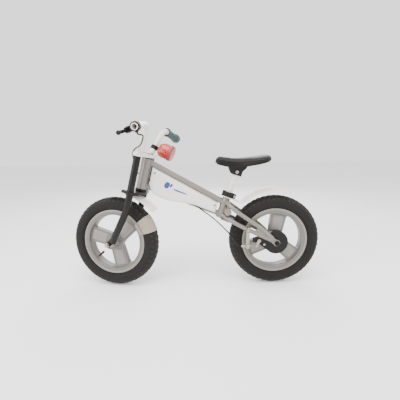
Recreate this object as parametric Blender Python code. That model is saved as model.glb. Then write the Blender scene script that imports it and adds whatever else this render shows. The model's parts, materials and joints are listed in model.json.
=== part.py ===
"""A child's balance bike, modelled in metres with +Z up.

The bike faces -X and its left side faces -Y. The origin is where the rear tyre touches the ground.
Steering parts are modelled straight ahead, in the frame of the steering axis, whose own +Z runs up
the head tube; one parent empty leans them back and turns them to the parked steering angle.
"""

import math

import bmesh
import bpy
from mathutils import Matrix, Vector

# Overall sizes
WHEELBASE = 0.551
TYRE_DIAMETER = 0.310
TYRE_WIDTH = 0.054
HEAD_ANGLE = math.radians(14.3)  # lean of the steering axis from vertical
SEAT_ANGLE = math.radians(20.5)  # lean of the seat tube from vertical
STEERING_TURN = math.radians(13.0)  # parked turn of the fork, to the rider's right
HANDLEBAR_WIDTH = 0.374
SEAT_POST_EXPOSED = 0.072  # collar to the middle of the saddle clamp
CLEARANCE = 0.0003  # left between pieces that touch
RUNNING = 0.0005  # radial play of turning pieces

# Frame
STEERER_RADIUS = 0.0125
STEERER_BORE = STEERER_RADIUS - 0.002
POST_RADIUS = 0.0110
POST_WALL = 0.0018
HEAD_BOTTOM_HEIGHT = TYRE_DIAMETER + 0.0305
HEAD_TUBE_LENGTH = 0.102
HEAD_TUBE_WALL = 0.0025
CUP_WALL = 0.0022
HEAD_TUBE_RADIUS = STEERER_RADIUS + RUNNING + CUP_WALL + CLEARANCE + HEAD_TUBE_WALL
SEAT_TUBE_TOP = Vector((-TYRE_DIAMETER / 2 - 0.0033, 0.0, TYRE_DIAMETER + 0.0057))
SEAT_TUBE_LENGTH = 0.085
SEAT_TUBE_WALL = 0.0019
SEAT_TUBE_RADIUS = POST_RADIUS + CLEARANCE + SEAT_TUBE_WALL
SEAT_BORE_REACH = 0.045  # the post may slide this far out of the seat tube's lower end
TOP_TUBE_RADIUS = 0.010
TOP_TUBE_HEAD_DROP = 0.008  # its axis below the head tube's top, along the steering axis
TOP_TUBE_SEAT_DROP = 0.032  # its axis below the seat tube's top, along the seat tube
DOWN_TUBE_RADIUS = 0.009
DOWN_TUBE_HEAD_RISE = 0.013
DOWN_TUBE_SEAT_RISE = 0.012
STAY_RADIUS = 0.0072
STAY_SPREAD = 0.046  # half distance between the stays where they clear the tyre
BRIDGE_RADIUS = 0.012
DROPOUT_INSIDE = 0.0465
DROPOUT_THICKNESS = 0.005
DROPOUT_RADIUS = 0.011

# Wheels
TYRE_BEAD_RADIUS = TYRE_DIAMETER / 2 - 0.0505
RIM_FLANGE_RADIUS = TYRE_DIAMETER / 2 - 0.0425
RIM_INNER_RADIUS = TYRE_DIAMETER / 2 - 0.060
RIM_HALF_WIDTH = 0.020
RIM_WALL = 0.003
SPOKE_COUNT = 3
SPOKE_ROOT_WIDTH = 0.044
SPOKE_TIP_WIDTH = 0.053
SPOKE_THICKNESS = 0.020
WINDOW_FILLET = 0.007
WINDOW_LIP = 0.0014  # left standing inside the rim
HUB_RADIUS = 0.020
FRONT_SPOKE_ANGLE = math.radians(45)
REAR_SPOKE_ANGLE = math.radians(80)
FRONT_VALVE_ANGLE = math.radians(220)
REAR_VALVE_ANGLE = math.radians(140)
VALVE_RADIUS = 0.0032
AXLE_RADIUS = 0.0048
COLLAR_RADIUS = 0.008
BEARING_RADIUS = 0.013
BEARING_WIDTH = 0.008
NUT_ACROSS_FLATS = 0.015
NUT_THICKNESS = 0.0075
WHEEL_STEPS = 32

# Fork and crowns, in the steering frame
FORK_OFFSET = 0.052  # axle ahead of the steering axis
LEG_RADIUS = 0.0113
LEG_SPREAD = TYRE_WIDTH / 2 + 0.032
LEG_AHEAD = 0.010
LEG_BEND_DEPTH = 0.072  # below the head tube's bottom
LEG_FOOT_GAP = 0.014  # leg end behind the axle
LEG_FOOT_RISE = 0.0135  # and above it
FRONT_DROPOUT_INSIDE = LEG_SPREAD - 0.005
LOWER_CROWN_GAP = 0.008
LOWER_CROWN_THICKNESS = 0.011
UPPER_CROWN_GAP = 0.0045
UPPER_CROWN_THICKNESS = 0.0105
SOCKET_DEPTH = 0.003
LOWER_CROWN_BOSS = LEG_RADIUS + 0.0052
UPPER_CROWN_BOSS = LEG_RADIUS + 0.0037
LOWER_CROWN_CENTRE = STEERER_RADIUS + 0.010
UPPER_CROWN_CENTRE = STEERER_RADIUS + 0.008
CROWN_LUG = 0.028  # how far the lower crown's ends run ahead of the legs

# Handlebar, in the steering frame
BAR_RADIUS = 0.0095
BAR_WALL = 0.0022
BAR_BASE_SPREAD = 0.0445
BAR_BASE_AHEAD = 0.008
BAR_CORNER_SPREAD = 0.076
BAR_CORNER_BACK = 0.006
BAR_RISE = 0.089  # from the upper crown's top to the corner
BAR_END_BACK = 0.023
BAR_END_DROP = 0.018
BAR_BEND_RADIUS = 0.030
GRIP_LENGTH = 0.088
GRIP_RADIUS = BAR_RADIUS + 0.0040
GRIP_COLLAR_RADIUS = BAR_RADIUS + 0.0063
GRIP_FLARE_RADIUS = BAR_RADIUS + 0.0075

# Side panels
PANEL_HALF_WIDTH = 0.0195
PANEL_WALL = 0.0025
PANEL_GAP = 0.0015
PANEL_FRONT_GAP = 0.008
PANEL_REAR_GAP = 0.009
PANEL_BELLY = 0.019
SCREW_RADIUS = 0.0018
SCREW_HEAD_RADIUS = 0.0038
SCREW_HEAD_HEIGHT = 0.0018
SCREW_LENGTH = 0.012

# Mudguards
MUDGUARD_HALF_WIDTH = TYRE_WIDTH / 2 + 0.002
MUDGUARD_WALL = 0.0024
FRONT_GUARD_CROWN = 0.011
REAR_GUARD_CROWN = 0.013
REAR_GUARD_HEIGHT = 0.0305  # above the tyre
REAR_GUARD_TONGUE = SEAT_TUBE_RADIUS + 0.0078  # half width of its flat front end
GUARD_BOLT_RADIUS = 0.003
GUARD_BOLT_HEAD = 0.008

# Brake
DRUM_RADIUS = 0.0335
HOUSING_RADIUS = 0.0400
HOUSING_INSIDE = 0.0265
HOUSING_OUTSIDE = 0.0410
PLATE_THICKNESS = 0.0025
BAND_THICKNESS = 0.0024
BAND_INSIDE = 0.0280
BAND_OUTSIDE = 0.0370
ANCHOR_PLACE = Vector((-0.0405, 0.0, -0.0065))  # from the rear axle
ARM_PIVOT_PLACE = Vector((-0.0580, 0.0, 0.0070))  # from the rear axle
ARM_THICKNESS = 0.0030
ARM_CLAMP = Vector((-0.0090, 0.0, -0.0165))  # from the arm's pivot
PIN_RADIUS = 0.0020
PIN_HEAD_RADIUS = 0.0038
PIN_HEAD_HEIGHT = 0.0012
CLAMP_SCREW_RADIUS = 0.0020
ADJUSTER_RADIUS = 0.0030
ADJUSTER_BACK = 0.0215
CABLE_RADIUS = 0.0023
CABLE_SPACING = 0.0135
CABLE_PARTING = 3  # the point of the route at the fork up to which the cable turns with the bars

# Brake lever, in its own frame at the left bar's end
LEVER_DROOP = math.radians(34)
LEVER_PIVOT = Vector((BAR_RADIUS + 0.0145, -0.016, 0.0))
LEVER_THICKNESS = 0.0080
LEVER_PIN_RADIUS = 0.0020
LEVER_PIN_HEAD = 0.0036
BRACKET_HALF_HEIGHT = 0.0080
BRACKET_RING_RADIUS = BAR_RADIUS + 0.0041
CABLE_SEAT = Vector((0.0060, -0.0205, -BAR_RADIUS - 0.0065))  # where the cable leaves the bracket
CABLE_BARREL_RADIUS = 2 * CABLE_RADIUS

# Bell, in the steering frame
BELL_RADIUS = 0.027
BELL_CENTRE = Vector((BAR_RADIUS + 0.0030, 0.0530, 0.1400))
BELL_SQUAT = math.radians(8)  # how far its axis points down behind
BELL_LENGTH = 0.054
BELL_WALL = 0.0022
BELL_BAND_RADIUS = BAR_RADIUS + 0.0030
BELL_LEVER_PLACE = Vector((0.0065, 0.0030 - BELL_RADIUS, -0.0060))  # from the bell's centre
BELL_PIN_RADIUS = 0.0013

# Seat
POST_INSERTION = 0.070
POST_TOP = 0.0045  # below the tilt bolt's axis
COLLAR_OUTER_RADIUS = SEAT_TUBE_RADIUS + 0.0073
COLLAR_HEIGHT = 0.0165
COLLAR_BOLT_RADIUS = 0.0022
COLLAR_EAR_WIDTH = 0.018
COLLAR_SLOT = 0.0024
CLAMP_LENGTH = 0.038
CLAMP_HEIGHT = 0.022
CLAMP_WIDTH = 2 * POST_RADIUS + 0.002
TILT_BOLT_RADIUS = 0.0030
CHEEK_THICKNESS = 0.0030
SADDLE_PAN = 0.0040
PAN_INSET = 0.0045  # the pan's edge inside the cover's
SADDLE_NOSE = 0.071  # ahead of the clamp bolt
SADDLE_TAIL = 0.109  # behind the clamp bolt
SADDLE_REAR_WIDTH = 0.122
SADDLE_NOSE_WIDTH = 0.044
SADDLE_STACK = 0.0505  # clamp bolt to the saddle's middle top

# Places worked out from the sizes above
AXLE_HEIGHT = TYRE_DIAMETER / 2
REAR_AXLE = Vector((0.0, 0.0, AXLE_HEIGHT))
STEERING_UP = Vector((math.sin(HEAD_ANGLE), 0.0, math.cos(HEAD_ANGLE)))
SEAT_UP = Vector((math.sin(SEAT_ANGLE), 0.0, math.cos(SEAT_ANGLE)))
HEAD_RISE = HEAD_BOTTOM_HEIGHT - AXLE_HEIGHT
HEAD_BACK = FORK_OFFSET / math.cos(HEAD_ANGLE) + HEAD_RISE * math.tan(HEAD_ANGLE)  # from the front axle
HEAD_BOTTOM = Vector((-WHEELBASE + HEAD_BACK, 0.0, HEAD_BOTTOM_HEIGHT))
HUB_DROP = (HEAD_RISE + FORK_OFFSET * math.sin(HEAD_ANGLE)) / math.cos(HEAD_ANGLE)
FRONT_AXLE_PLACE = Vector((-FORK_OFFSET, 0.0, -HUB_DROP))
SEAT_TUBE_BOTTOM = SEAT_TUBE_TOP - SEAT_UP * SEAT_TUBE_LENGTH
SADDLE_PIVOT = SEAT_TUBE_TOP + SEAT_UP * (COLLAR_HEIGHT / 2 + SEAT_POST_EXPOSED)
UPPER_CROWN_BOTTOM = HEAD_TUBE_LENGTH + UPPER_CROWN_GAP
UPPER_CROWN_TOP = UPPER_CROWN_BOTTOM + UPPER_CROWN_THICKNESS
LOWER_CROWN_TOP = -LOWER_CROWN_GAP
LOWER_CROWN_BOTTOM = LOWER_CROWN_TOP - LOWER_CROWN_THICKNESS
TOP_TUBE_HEAD = HEAD_BOTTOM + STEERING_UP * (HEAD_TUBE_LENGTH - TOP_TUBE_HEAD_DROP)
TOP_TUBE_SEAT = SEAT_TUBE_TOP - SEAT_UP * TOP_TUBE_SEAT_DROP
DOWN_TUBE_HEAD = HEAD_BOTTOM + STEERING_UP * DOWN_TUBE_HEAD_RISE
DOWN_TUBE_SEAT = SEAT_TUBE_BOTTOM + SEAT_UP * DOWN_TUBE_SEAT_RISE
STOP_PLACE = REAR_AXLE + Vector((-0.0970, -DROPOUT_INSIDE, -0.0095))
FRONT_HUB_HALF = FRONT_DROPOUT_INSIDE - 0.0102
REAR_HUB_LEFT = -0.0236
REAR_HUB_RIGHT = DROPOUT_INSIDE - 0.0065
LAID_FLAT = Matrix.Rotation(-math.pi / 2, 4, "X")  # turns a plate's outline plane from XZ to XY
HEAD_LEAN = Matrix.Translation(HEAD_BOTTOM) @ Matrix.Rotation(HEAD_ANGLE, 4, "Y")
PARKED = HEAD_LEAN @ Matrix.Rotation(-STEERING_TURN, 4, "Z")

# The cable's route, in the frames of what it passes: the turned fork, the head tube, the down tube
# (as a share of its length, the offset to the right and the rise above it) and the cable stop
ROUTE_AT_FORK = ((0.0290, -0.1370, 0.1701), (0.0192, -0.1136, 0.1525), (0.0019, -0.0868, 0.1384),
                 (-0.0205, -0.0632, 0.1265), (-0.0345, -0.0429, 0.1092), (-0.0358, -0.0237, 0.0852))
ROUTE_AT_HEAD = ((-0.0401, 0.0020, 0.0605), (-0.0257, 0.0210, 0.0445), (-0.0029, 0.0285, 0.0359),
                 (0.0192, 0.0200, 0.0302), (0.0455, 0.0090, 0.0240))
ROUTE_AT_DOWN_TUBE = ((0.2688, 0.0000, 0.0165), (0.3841, -0.0070, 0.0157), (0.5125, -0.0118, 0.0109),
                      (0.6383, -0.0133, 0.0026), (0.7839, -0.0140, -0.0088), (0.9202, -0.0170, -0.0191),
                      (1.0631, -0.0250, -0.0341))
ROUTE_AT_STOP = ((-0.0540, 0.0125, 0.0335), (-0.0435, 0.0060, 0.0155), (-0.0340, 0.0015, 0.0045))


def clear_scene():
    for thing in list(bpy.data.objects):
        bpy.data.objects.remove(thing, do_unlink=True)


def material(name, colour, roughness, metallic):
    made = bpy.data.materials.new(name)
    made.use_nodes = True
    shader = made.node_tree.nodes["Principled BSDF"]
    shader.inputs["Base Color"].default_value = (*colour, 1.0)
    shader.inputs["Roughness"].default_value = roughness
    shader.inputs["Metallic"].default_value = metallic
    return made


def empty(name, matrix, parent=None):
    """A parent frame for the pieces of one moving body."""
    made = bpy.data.objects.new(name, None)
    bpy.context.scene.collection.objects.link(made)
    made.parent = parent
    made.matrix_basis = matrix
    return made


def blank(bm):
    """An object made from a finished bmesh, with its faces turned outwards."""
    bmesh.ops.remove_doubles(bm, verts=bm.verts, dist=1e-7)
    bmesh.ops.recalc_face_normals(bm, faces=bm.faces)
    mesh = bpy.data.meshes.new("blank")
    bm.to_mesh(mesh)
    bm.free()
    made = bpy.data.objects.new("blank", mesh)
    bpy.context.scene.collection.objects.link(made)
    return made


def lathe(profile, steps, axis="Y", closed=True, phase=0.0):
    """A turned piece. The profile is (radius, height) points; heights run along the axis."""
    bm = bmesh.new()
    points = [bm.verts.new((radius, 0.0, height)) for radius, height in profile]
    lines = [bm.edges.new(pair) for pair in zip(points, points[1:])]
    if closed:
        lines.append(bm.edges.new((points[-1], points[0])))
    bmesh.ops.spin(
        bm, geom=points + lines, cent=(0, 0, 0), axis=(0, 0, 1), angle=math.tau, steps=steps, use_merge=True
    )
    turn = Matrix.Rotation(phase, 4, "Z")
    if axis == "Y":
        turn = Matrix.Rotation(-math.pi / 2, 4, "X") @ turn
    bmesh.ops.transform(bm, matrix=turn, verts=bm.verts)
    return blank(bm)


def disc(radius, low, high, steps, axis="Y", phase=0.0):
    return lathe([(0.0, low), (radius, low), (radius, high), (0.0, high)], steps, axis, False, phase)


def ring(outer, inner, low, high, steps, axis="Y"):
    return lathe([(outer, low), (outer, high), (inner, high), (inner, low)], steps, axis)


def prism(outline, low, high, bevel=0.0):
    """A flat plate: an outline of (x, z) points, given its thickness along Y."""
    bm = bmesh.new()
    face = bm.faces.new([bm.verts.new((x, low, z)) for x, z in outline])
    made = bmesh.ops.extrude_face_region(bm, geom=[face])
    moved = [part for part in made["geom"] if isinstance(part, bmesh.types.BMVert)]
    bmesh.ops.translate(bm, vec=(0.0, high - low, 0.0), verts=moved)
    if bevel:
        rims = [edge for edge in bm.edges if abs(edge.verts[0].co.y - edge.verts[1].co.y) < 1e-9]
        bmesh.ops.bevel(bm, geom=rims, offset=bevel, segments=2, profile=0.5, affect="EDGES")
    return blank(bm)


def box(length, width, height, bevel=0.0):
    bm = bmesh.new()
    bmesh.ops.create_cube(bm, size=1.0, matrix=Matrix.Diagonal((length, width, height, 1.0)))
    if bevel:
        bmesh.ops.bevel(bm, geom=list(bm.edges), offset=bevel, segments=2, profile=0.5, affect="EDGES")
    return blank(bm)


def loft(sections):
    """A closed skin through rings of points, with a flat cap at each end."""
    bm = bmesh.new()
    rings = [[bm.verts.new(point) for point in section] for section in sections]
    for near, far in zip(rings, rings[1:]):
        for step in range(len(near)):
            after = (step + 1) % len(near)
            bm.faces.new((near[step], near[after], far[after], far[step]))
    bm.faces.new(rings[0])
    bm.faces.new(rings[-1])
    return blank(bm)


def frames_along(path):
    """A pair of sideways unit vectors at each point of a path, carried along without twist."""
    tangents = []
    for index in range(len(path)):
        before = path[max(index - 1, 0)]
        after = path[min(index + 1, len(path) - 1)]
        tangents.append((after - before).normalized())
    side = tangents[0].orthogonal().normalized()
    pairs = []
    for tangent in tangents:
        side = (side - tangent * side.dot(tangent)).normalized()
        pairs.append((side, tangent.cross(side)))
    return pairs


def tube(path, radius, sides, inner=0.0):
    """A round bar along a path; inner makes it a pipe. The radius may be a list, one for each point."""
    radii = radius if isinstance(radius, list) else [radius] * len(path)
    bm = bmesh.new()
    walls = []
    for scale_to_inner in ([False, True] if inner else [False]):
        loops = []
        for point, (side, up), reach in zip(path, frames_along(path), radii):
            reach = inner if scale_to_inner else reach
            loops.append([
                bm.verts.new(point + (side * math.cos(turn) + up * math.sin(turn)) * reach)
                for turn in (math.tau * step / sides for step in range(sides))
            ])
        for near, far in zip(loops, loops[1:]):
            for step in range(sides):
                after = (step + 1) % sides
                bm.faces.new((near[step], near[after], far[after], far[step]))
        walls.append(loops)
    if inner:
        for end in (0, -1):
            for step in range(sides):
                after = (step + 1) % sides
                bm.faces.new((walls[0][end][step], walls[0][end][after], walls[1][end][after],
                              walls[1][end][step]))
    else:
        bm.faces.new(walls[0][0])
        bm.faces.new(walls[0][-1])
    return blank(bm)


def bent(points, bend_radius, steps=6):
    """Straight runs joined by round bends of one radius."""
    path = [points[0]]
    for before, corner, after in zip(points, points[1:], points[2:]):
        back = (before - corner).normalized()
        ahead = (after - corner).normalized()
        half = back.angle(ahead) / 2
        reach = min(bend_radius / math.tan(half), (before - corner).length * 0.45,
                    (after - corner).length * 0.45)
        centre = corner + (back + ahead).normalized() * (reach / math.cos(half))
        start = corner + back * reach - centre
        end = corner + ahead * reach - centre
        spread = start.angle(end)
        for step in range(steps + 1):
            share = step / steps
            swing = start * math.sin((1 - share) * spread) + end * math.sin(share * spread)
            path.append(centre + swing / math.sin(spread))
    path.append(points[-1])
    return path


def smooth(points, spacing):
    """Evenly spaced points on a smooth curve through the given points."""
    ends = [points[0] * 2 - points[1]] + list(points) + [points[-1] * 2 - points[-2]]
    dense = []
    for a, b, c, d in zip(ends, ends[1:], ends[2:], ends[3:]):
        for step in range(24):
            t = step / 24
            square, cube = a * 2 - b * 5 + c * 4 - d, b * 3 - a - c * 3 + d
            dense.append((b * 2 + (c - a) * t + square * t**2 + cube * t**3) / 2)
    dense.append(points[-1].copy())
    lengths = [0.0]
    for before, after in zip(dense, dense[1:]):
        lengths.append(lengths[-1] + (after - before).length)
    count = max(2, round(lengths[-1] / spacing))
    path = []
    index = 0
    for step in range(count + 1):
        wanted = lengths[-1] * step / count
        while index < len(dense) - 2 and lengths[index + 1] < wanted:
            index += 1
        share = (wanted - lengths[index]) / (lengths[index + 1] - lengths[index])
        path.append(dense[index].lerp(dense[index + 1], share))
    return path


def bake(target):
    """Replaces an object's mesh by what its modifiers make of it."""
    graph = bpy.context.evaluated_depsgraph_get()
    mesh = bpy.data.meshes.new_from_object(target.evaluated_get(graph))
    target.modifiers.clear()
    target.data = mesh
    return target


def combine(target, tools, operation):
    for tool in tools:
        step = target.modifiers.new("combine", "BOOLEAN")
        step.operation = operation
        step.object = tool
        bake(target)
        bpy.data.objects.remove(tool, do_unlink=True)
    return target


def union(target, *tools):
    return combine(target, tools, "UNION")


def cut(target, *tools):
    return combine(target, tools, "DIFFERENCE")


def moved(target, place=Vector((0, 0, 0)), turn=Matrix.Identity(4)):
    target.data.transform(Matrix.Translation(place) @ turn)
    return target


def aimed(direction, reference=Vector((0, 1, 0))):
    """A turn that takes +Z to a direction."""
    up = direction.normalized()
    side = reference.cross(up).normalized()
    return Matrix((side, up.cross(side), up)).transposed().to_4x4()


def node(target, name, finish, parent=None):
    """Names a finished piece, gives it its material and hangs it on its body's frame."""
    target.name = name
    target.data.name = name
    target.data.materials.clear()
    target.data.materials.append(finish)
    target.data.shade_smooth()
    target.data.set_sharp_from_angle(angle=math.radians(35))
    target.parent = parent
    return target


def hexagon(across_flats):
    return across_flats / math.sqrt(3)


clear_scene()
bare_metal = material("silver_paint", (0.50, 0.47, 0.44), 0.38, 0.6)
white_metal = material("white_paint", (0.72, 0.70, 0.67), 0.35, 0.1)
black_metal = material("black_paint", (0.020, 0.019, 0.018), 0.40, 0.1)
zinc = material("zinc", (0.60, 0.58, 0.55), 0.35, 0.9)
rubber = material("tyre_rubber", (0.030, 0.029, 0.026), 0.85, 0.0)
rim_plastic = material("rim_plastic", (0.30, 0.28, 0.26), 0.50, 0.0)
white_plastic = material("white_plastic", (0.74, 0.71, 0.68), 0.40, 0.0)
black_plastic = material("black_plastic", (0.022, 0.021, 0.020), 0.50, 0.0)
grip_rubber = material("teal_rubber", (0.020, 0.085, 0.092), 0.65, 0.0)
bell_plastic = material("orange_plastic", (0.62, 0.09, 0.035), 0.35, 0.0)
saddle_skin = material("saddle_skin", (0.022, 0.021, 0.019), 0.55, 0.0)

steering = empty("steering_axis", PARKED)
front_wheel_axis = empty(
    "front_wheel_axis",
    Matrix.Translation(FRONT_AXLE_PLACE) @ Matrix.Rotation(-HEAD_ANGLE, 4, "Y"),
    steering,
)
rear_wheel_axis = empty("rear_wheel_axis", Matrix.Translation(REAR_AXLE))
post_axis = empty("seat_post_axis", Matrix.Translation(SADDLE_PIVOT) @ Matrix.Rotation(SEAT_ANGLE, 4, "Y"))
saddle_axis = empty("saddle_tilt_axis", Matrix.Rotation(-SEAT_ANGLE, 4, "Y"), post_axis)


def side_pair(points):
    """The same run of points on the left (-Y) and on the right."""
    return [[Vector((x, side * y, z)) for x, y, z in points] for side in (-1, 1)]


# Frame: head tube, top tube, down tube, seat tube, stays, bridge and dropouts, welded into one piece
def tube_line(start, end, radius, sides):
    return tube([start, end], radius, sides)


def stay_runs():
    """Each stay leaves the seat tube, spreads past the tyre and runs down to its dropout."""
    inside = DROPOUT_INSIDE + DROPOUT_THICKNESS / 2
    seat_start = SEAT_TUBE_TOP - SEAT_UP * (TOP_TUBE_SEAT_DROP * 0.85)
    chain_start = SEAT_TUBE_BOTTOM + SEAT_UP * STAY_RADIUS * 1.3
    tyre_front = -TYRE_DIAMETER / 2
    seat_run = [
        (seat_start.x + 0.002, SEAT_TUBE_RADIUS * 0.4, seat_start.z),
        (tyre_front + 0.004, STAY_SPREAD * 0.87, seat_start.z - 0.013),
        (tyre_front * 0.68, STAY_SPREAD + 0.001, AXLE_HEIGHT + 0.088),
        (tyre_front * 0.34, inside, AXLE_HEIGHT + 0.0515),
        (-0.0150, inside, AXLE_HEIGHT + 0.0165),
    ]
    chain_run = [
        (chain_start.x + 0.002, SEAT_TUBE_RADIUS * 0.4, chain_start.z),
        (tyre_front + 0.004, STAY_SPREAD * 0.87, AXLE_HEIGHT + 0.076),
        (tyre_front * 0.68, STAY_SPREAD + 0.001, AXLE_HEIGHT + 0.052),
        (-0.0200, inside, AXLE_HEIGHT + 0.0110),
    ]
    return [
        smooth(run, 0.026)
        for points in (seat_run, chain_run)
        for run in side_pair(points)
    ]


def make_frame():
    head_top = HEAD_BOTTOM + STEERING_UP * HEAD_TUBE_LENGTH
    frame = tube_line(HEAD_BOTTOM, head_top, HEAD_TUBE_RADIUS, 28)
    pieces = [
        tube_line(TOP_TUBE_HEAD, TOP_TUBE_SEAT, TOP_TUBE_RADIUS, 20),
        tube_line(DOWN_TUBE_HEAD, DOWN_TUBE_SEAT, DOWN_TUBE_RADIUS, 18),
        tube_line(SEAT_TUBE_BOTTOM, SEAT_TUBE_TOP, SEAT_TUBE_RADIUS, 24),
    ]
    runs = stay_runs()
    pieces += [tube(run, STAY_RADIUS, 10) for run in runs]
    bridge_x = -TYRE_DIAMETER / 2 - STAY_RADIUS
    bridge_height = (runs[0][1].z + runs[2][1].z) / 2
    bridge = disc(BRIDGE_RADIUS, -STAY_SPREAD * 0.82, STAY_SPREAD * 0.82, 16)
    pieces.append(moved(bridge, Vector((bridge_x, 0.0, bridge_height))))
    yoke = box(0.030, STAY_SPREAD, 0.005)
    yoke_place = Vector((bridge_x - 0.008, 0.0, runs[2][1].z - 0.010))
    pieces.append(moved(yoke, yoke_place, Matrix.Rotation(math.radians(22), 4, "Y")))
    for side in (-1, 1):
        middle = side * (DROPOUT_INSIDE + DROPOUT_THICKNESS / 2)
        low, high = middle - DROPOUT_THICKNESS / 2, middle + DROPOUT_THICKNESS / 2
        pieces.append(moved(disc(DROPOUT_RADIUS, low, high, 20), REAR_AXLE))
        plate = [(0.002, 0.009), (-0.009, -0.006), (-0.026, 0.010), (-0.052, 0.025), (-0.074, 0.041),
                 (-0.066, 0.053), (-0.042, 0.046), (-0.013, 0.021)]
        plate = [(x, AXLE_HEIGHT + rise) for x, rise in plate]
        pieces.append(prism(plate, low, high))
    union(frame, *pieces)
    bore = HEAD_TUBE_RADIUS - HEAD_TUBE_WALL
    cut(
        frame,
        tube_line(HEAD_BOTTOM - STEERING_UP * 0.01, head_top + STEERING_UP * 0.01, bore, 28),
        tube_line(
            SEAT_TUBE_BOTTOM - SEAT_UP * SEAT_BORE_REACH,
            SEAT_TUBE_TOP + SEAT_UP * 0.01,
            POST_RADIUS + CLEARANCE,
            24,
        ),
        moved(disc(AXLE_RADIUS + CLEARANCE, -0.1, 0.1, 16), REAR_AXLE),
    )
    return node(frame, "frame", bare_metal)


make_frame()

# Headset: a cup pressed into each end of the head tube
def make_headset():
    spigot = HEAD_TUBE_RADIUS - HEAD_TUBE_WALL - CLEARANCE
    hole = STEERER_RADIUS + RUNNING
    flange = HEAD_TUBE_RADIUS + 0.0012
    lower = [(flange, -LOWER_CROWN_GAP + CLEARANCE), (flange, -CLEARANCE), (spigot, -CLEARANCE),
             (spigot, 0.010), (hole, 0.010), (hole, -LOWER_CROWN_GAP + CLEARANCE)]
    top = HEAD_TUBE_LENGTH
    upper = [(flange, top + CLEARANCE), (flange, top + UPPER_CROWN_GAP - CLEARANCE),
             (hole, top + UPPER_CROWN_GAP - CLEARANCE), (hole, top - 0.010), (spigot, top - 0.010),
             (spigot, top + CLEARANCE)]
    for name, profile in (("headset_cup_lower", lower), ("headset_cup_upper", upper)):
        cup = lathe(profile, 24, "Z")
        cup.data.transform(HEAD_LEAN)
        node(cup, name, black_metal)


make_headset()


# Side panels: two plastic shells that meet on the bike's middle plane, around the down tube
def meet(start, direction, other, other_direction):
    """Where two lines in the XZ plane cross."""
    gap = other - start
    across = direction.x * other_direction.z - direction.z * other_direction.x
    share = (gap.x * other_direction.z - gap.z * other_direction.x) / across
    return start + direction * share


def panel_outline(inset):
    """The panel's edge, drawn in by the inset: under the top tube, then along the down tube with a belly."""
    top_way = (TOP_TUBE_SEAT - TOP_TUBE_HEAD).normalized()
    under = Vector((-top_way.z, 0.0, top_way.x)) * -(TOP_TUBE_RADIUS + PANEL_GAP + inset)
    behind_head = Vector((STEERING_UP.z, 0.0, -STEERING_UP.x))
    front = HEAD_BOTTOM + behind_head * (HEAD_TUBE_RADIUS + PANEL_FRONT_GAP + inset)
    behind_seat = Vector((SEAT_UP.z, 0.0, -SEAT_UP.x))
    rear = SEAT_TUBE_BOTTOM - behind_seat * (SEAT_TUBE_RADIUS + PANEL_REAR_GAP + inset)
    low_way = (DOWN_TUBE_SEAT - DOWN_TUBE_HEAD).normalized()
    raised = DOWN_TUBE_HEAD + Vector((0.0, 0.0, inset))
    corners = [
        meet(TOP_TUBE_HEAD + under, top_way, front, STEERING_UP),
        meet(TOP_TUBE_HEAD + under, top_way, rear, SEAT_UP),
        meet(raised, low_way, rear, SEAT_UP),
        meet(raised, low_way, front, STEERING_UP),
    ]
    end, start = corners[2], corners[3]
    outline = [(corner.x, corner.z) for corner in corners[:3]]
    for share in (0.55, 0.44, 0.34, 0.25, 0.17, 0.10, 0.045):
        place = start.lerp(end, share)
        drop = PANEL_BELLY * math.sin(math.pi * (share / 0.66) ** 0.6)
        outline.append((place.x, place.z - drop))
    lip = start + STEERING_UP * DOWN_TUBE_RADIUS * 1.3
    outline.append((lip.x, lip.z))
    return outline


def panel_screw_places():
    """One screw in the front upper corner and one near the rear end."""
    outline = panel_outline(0.0095)
    front = Vector((outline[0][0], 0.0, outline[0][1]))
    rear = Vector((outline[1][0], 0.0, outline[1][1]))
    return {"front": front, "rear": rear}


def cable_route():
    """The cable's middle points, from the bars to just ahead of the cable stop."""
    down = DOWN_TUBE_SEAT - DOWN_TUBE_HEAD
    above = Vector((-down.z, 0.0, down.x)).normalized()
    route = [PARKED @ Vector(point) for point in ROUTE_AT_FORK]
    route += [HEAD_LEAN @ Vector(point) for point in ROUTE_AT_HEAD]
    route += [
        DOWN_TUBE_HEAD + down * share + Vector((0.0, offset, 0.0)) + above * rise
        for share, offset, rise in ROUTE_AT_DOWN_TUBE
    ]
    route += [STOP_PLACE + Vector(point) for point in ROUTE_AT_STOP]
    return route


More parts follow.
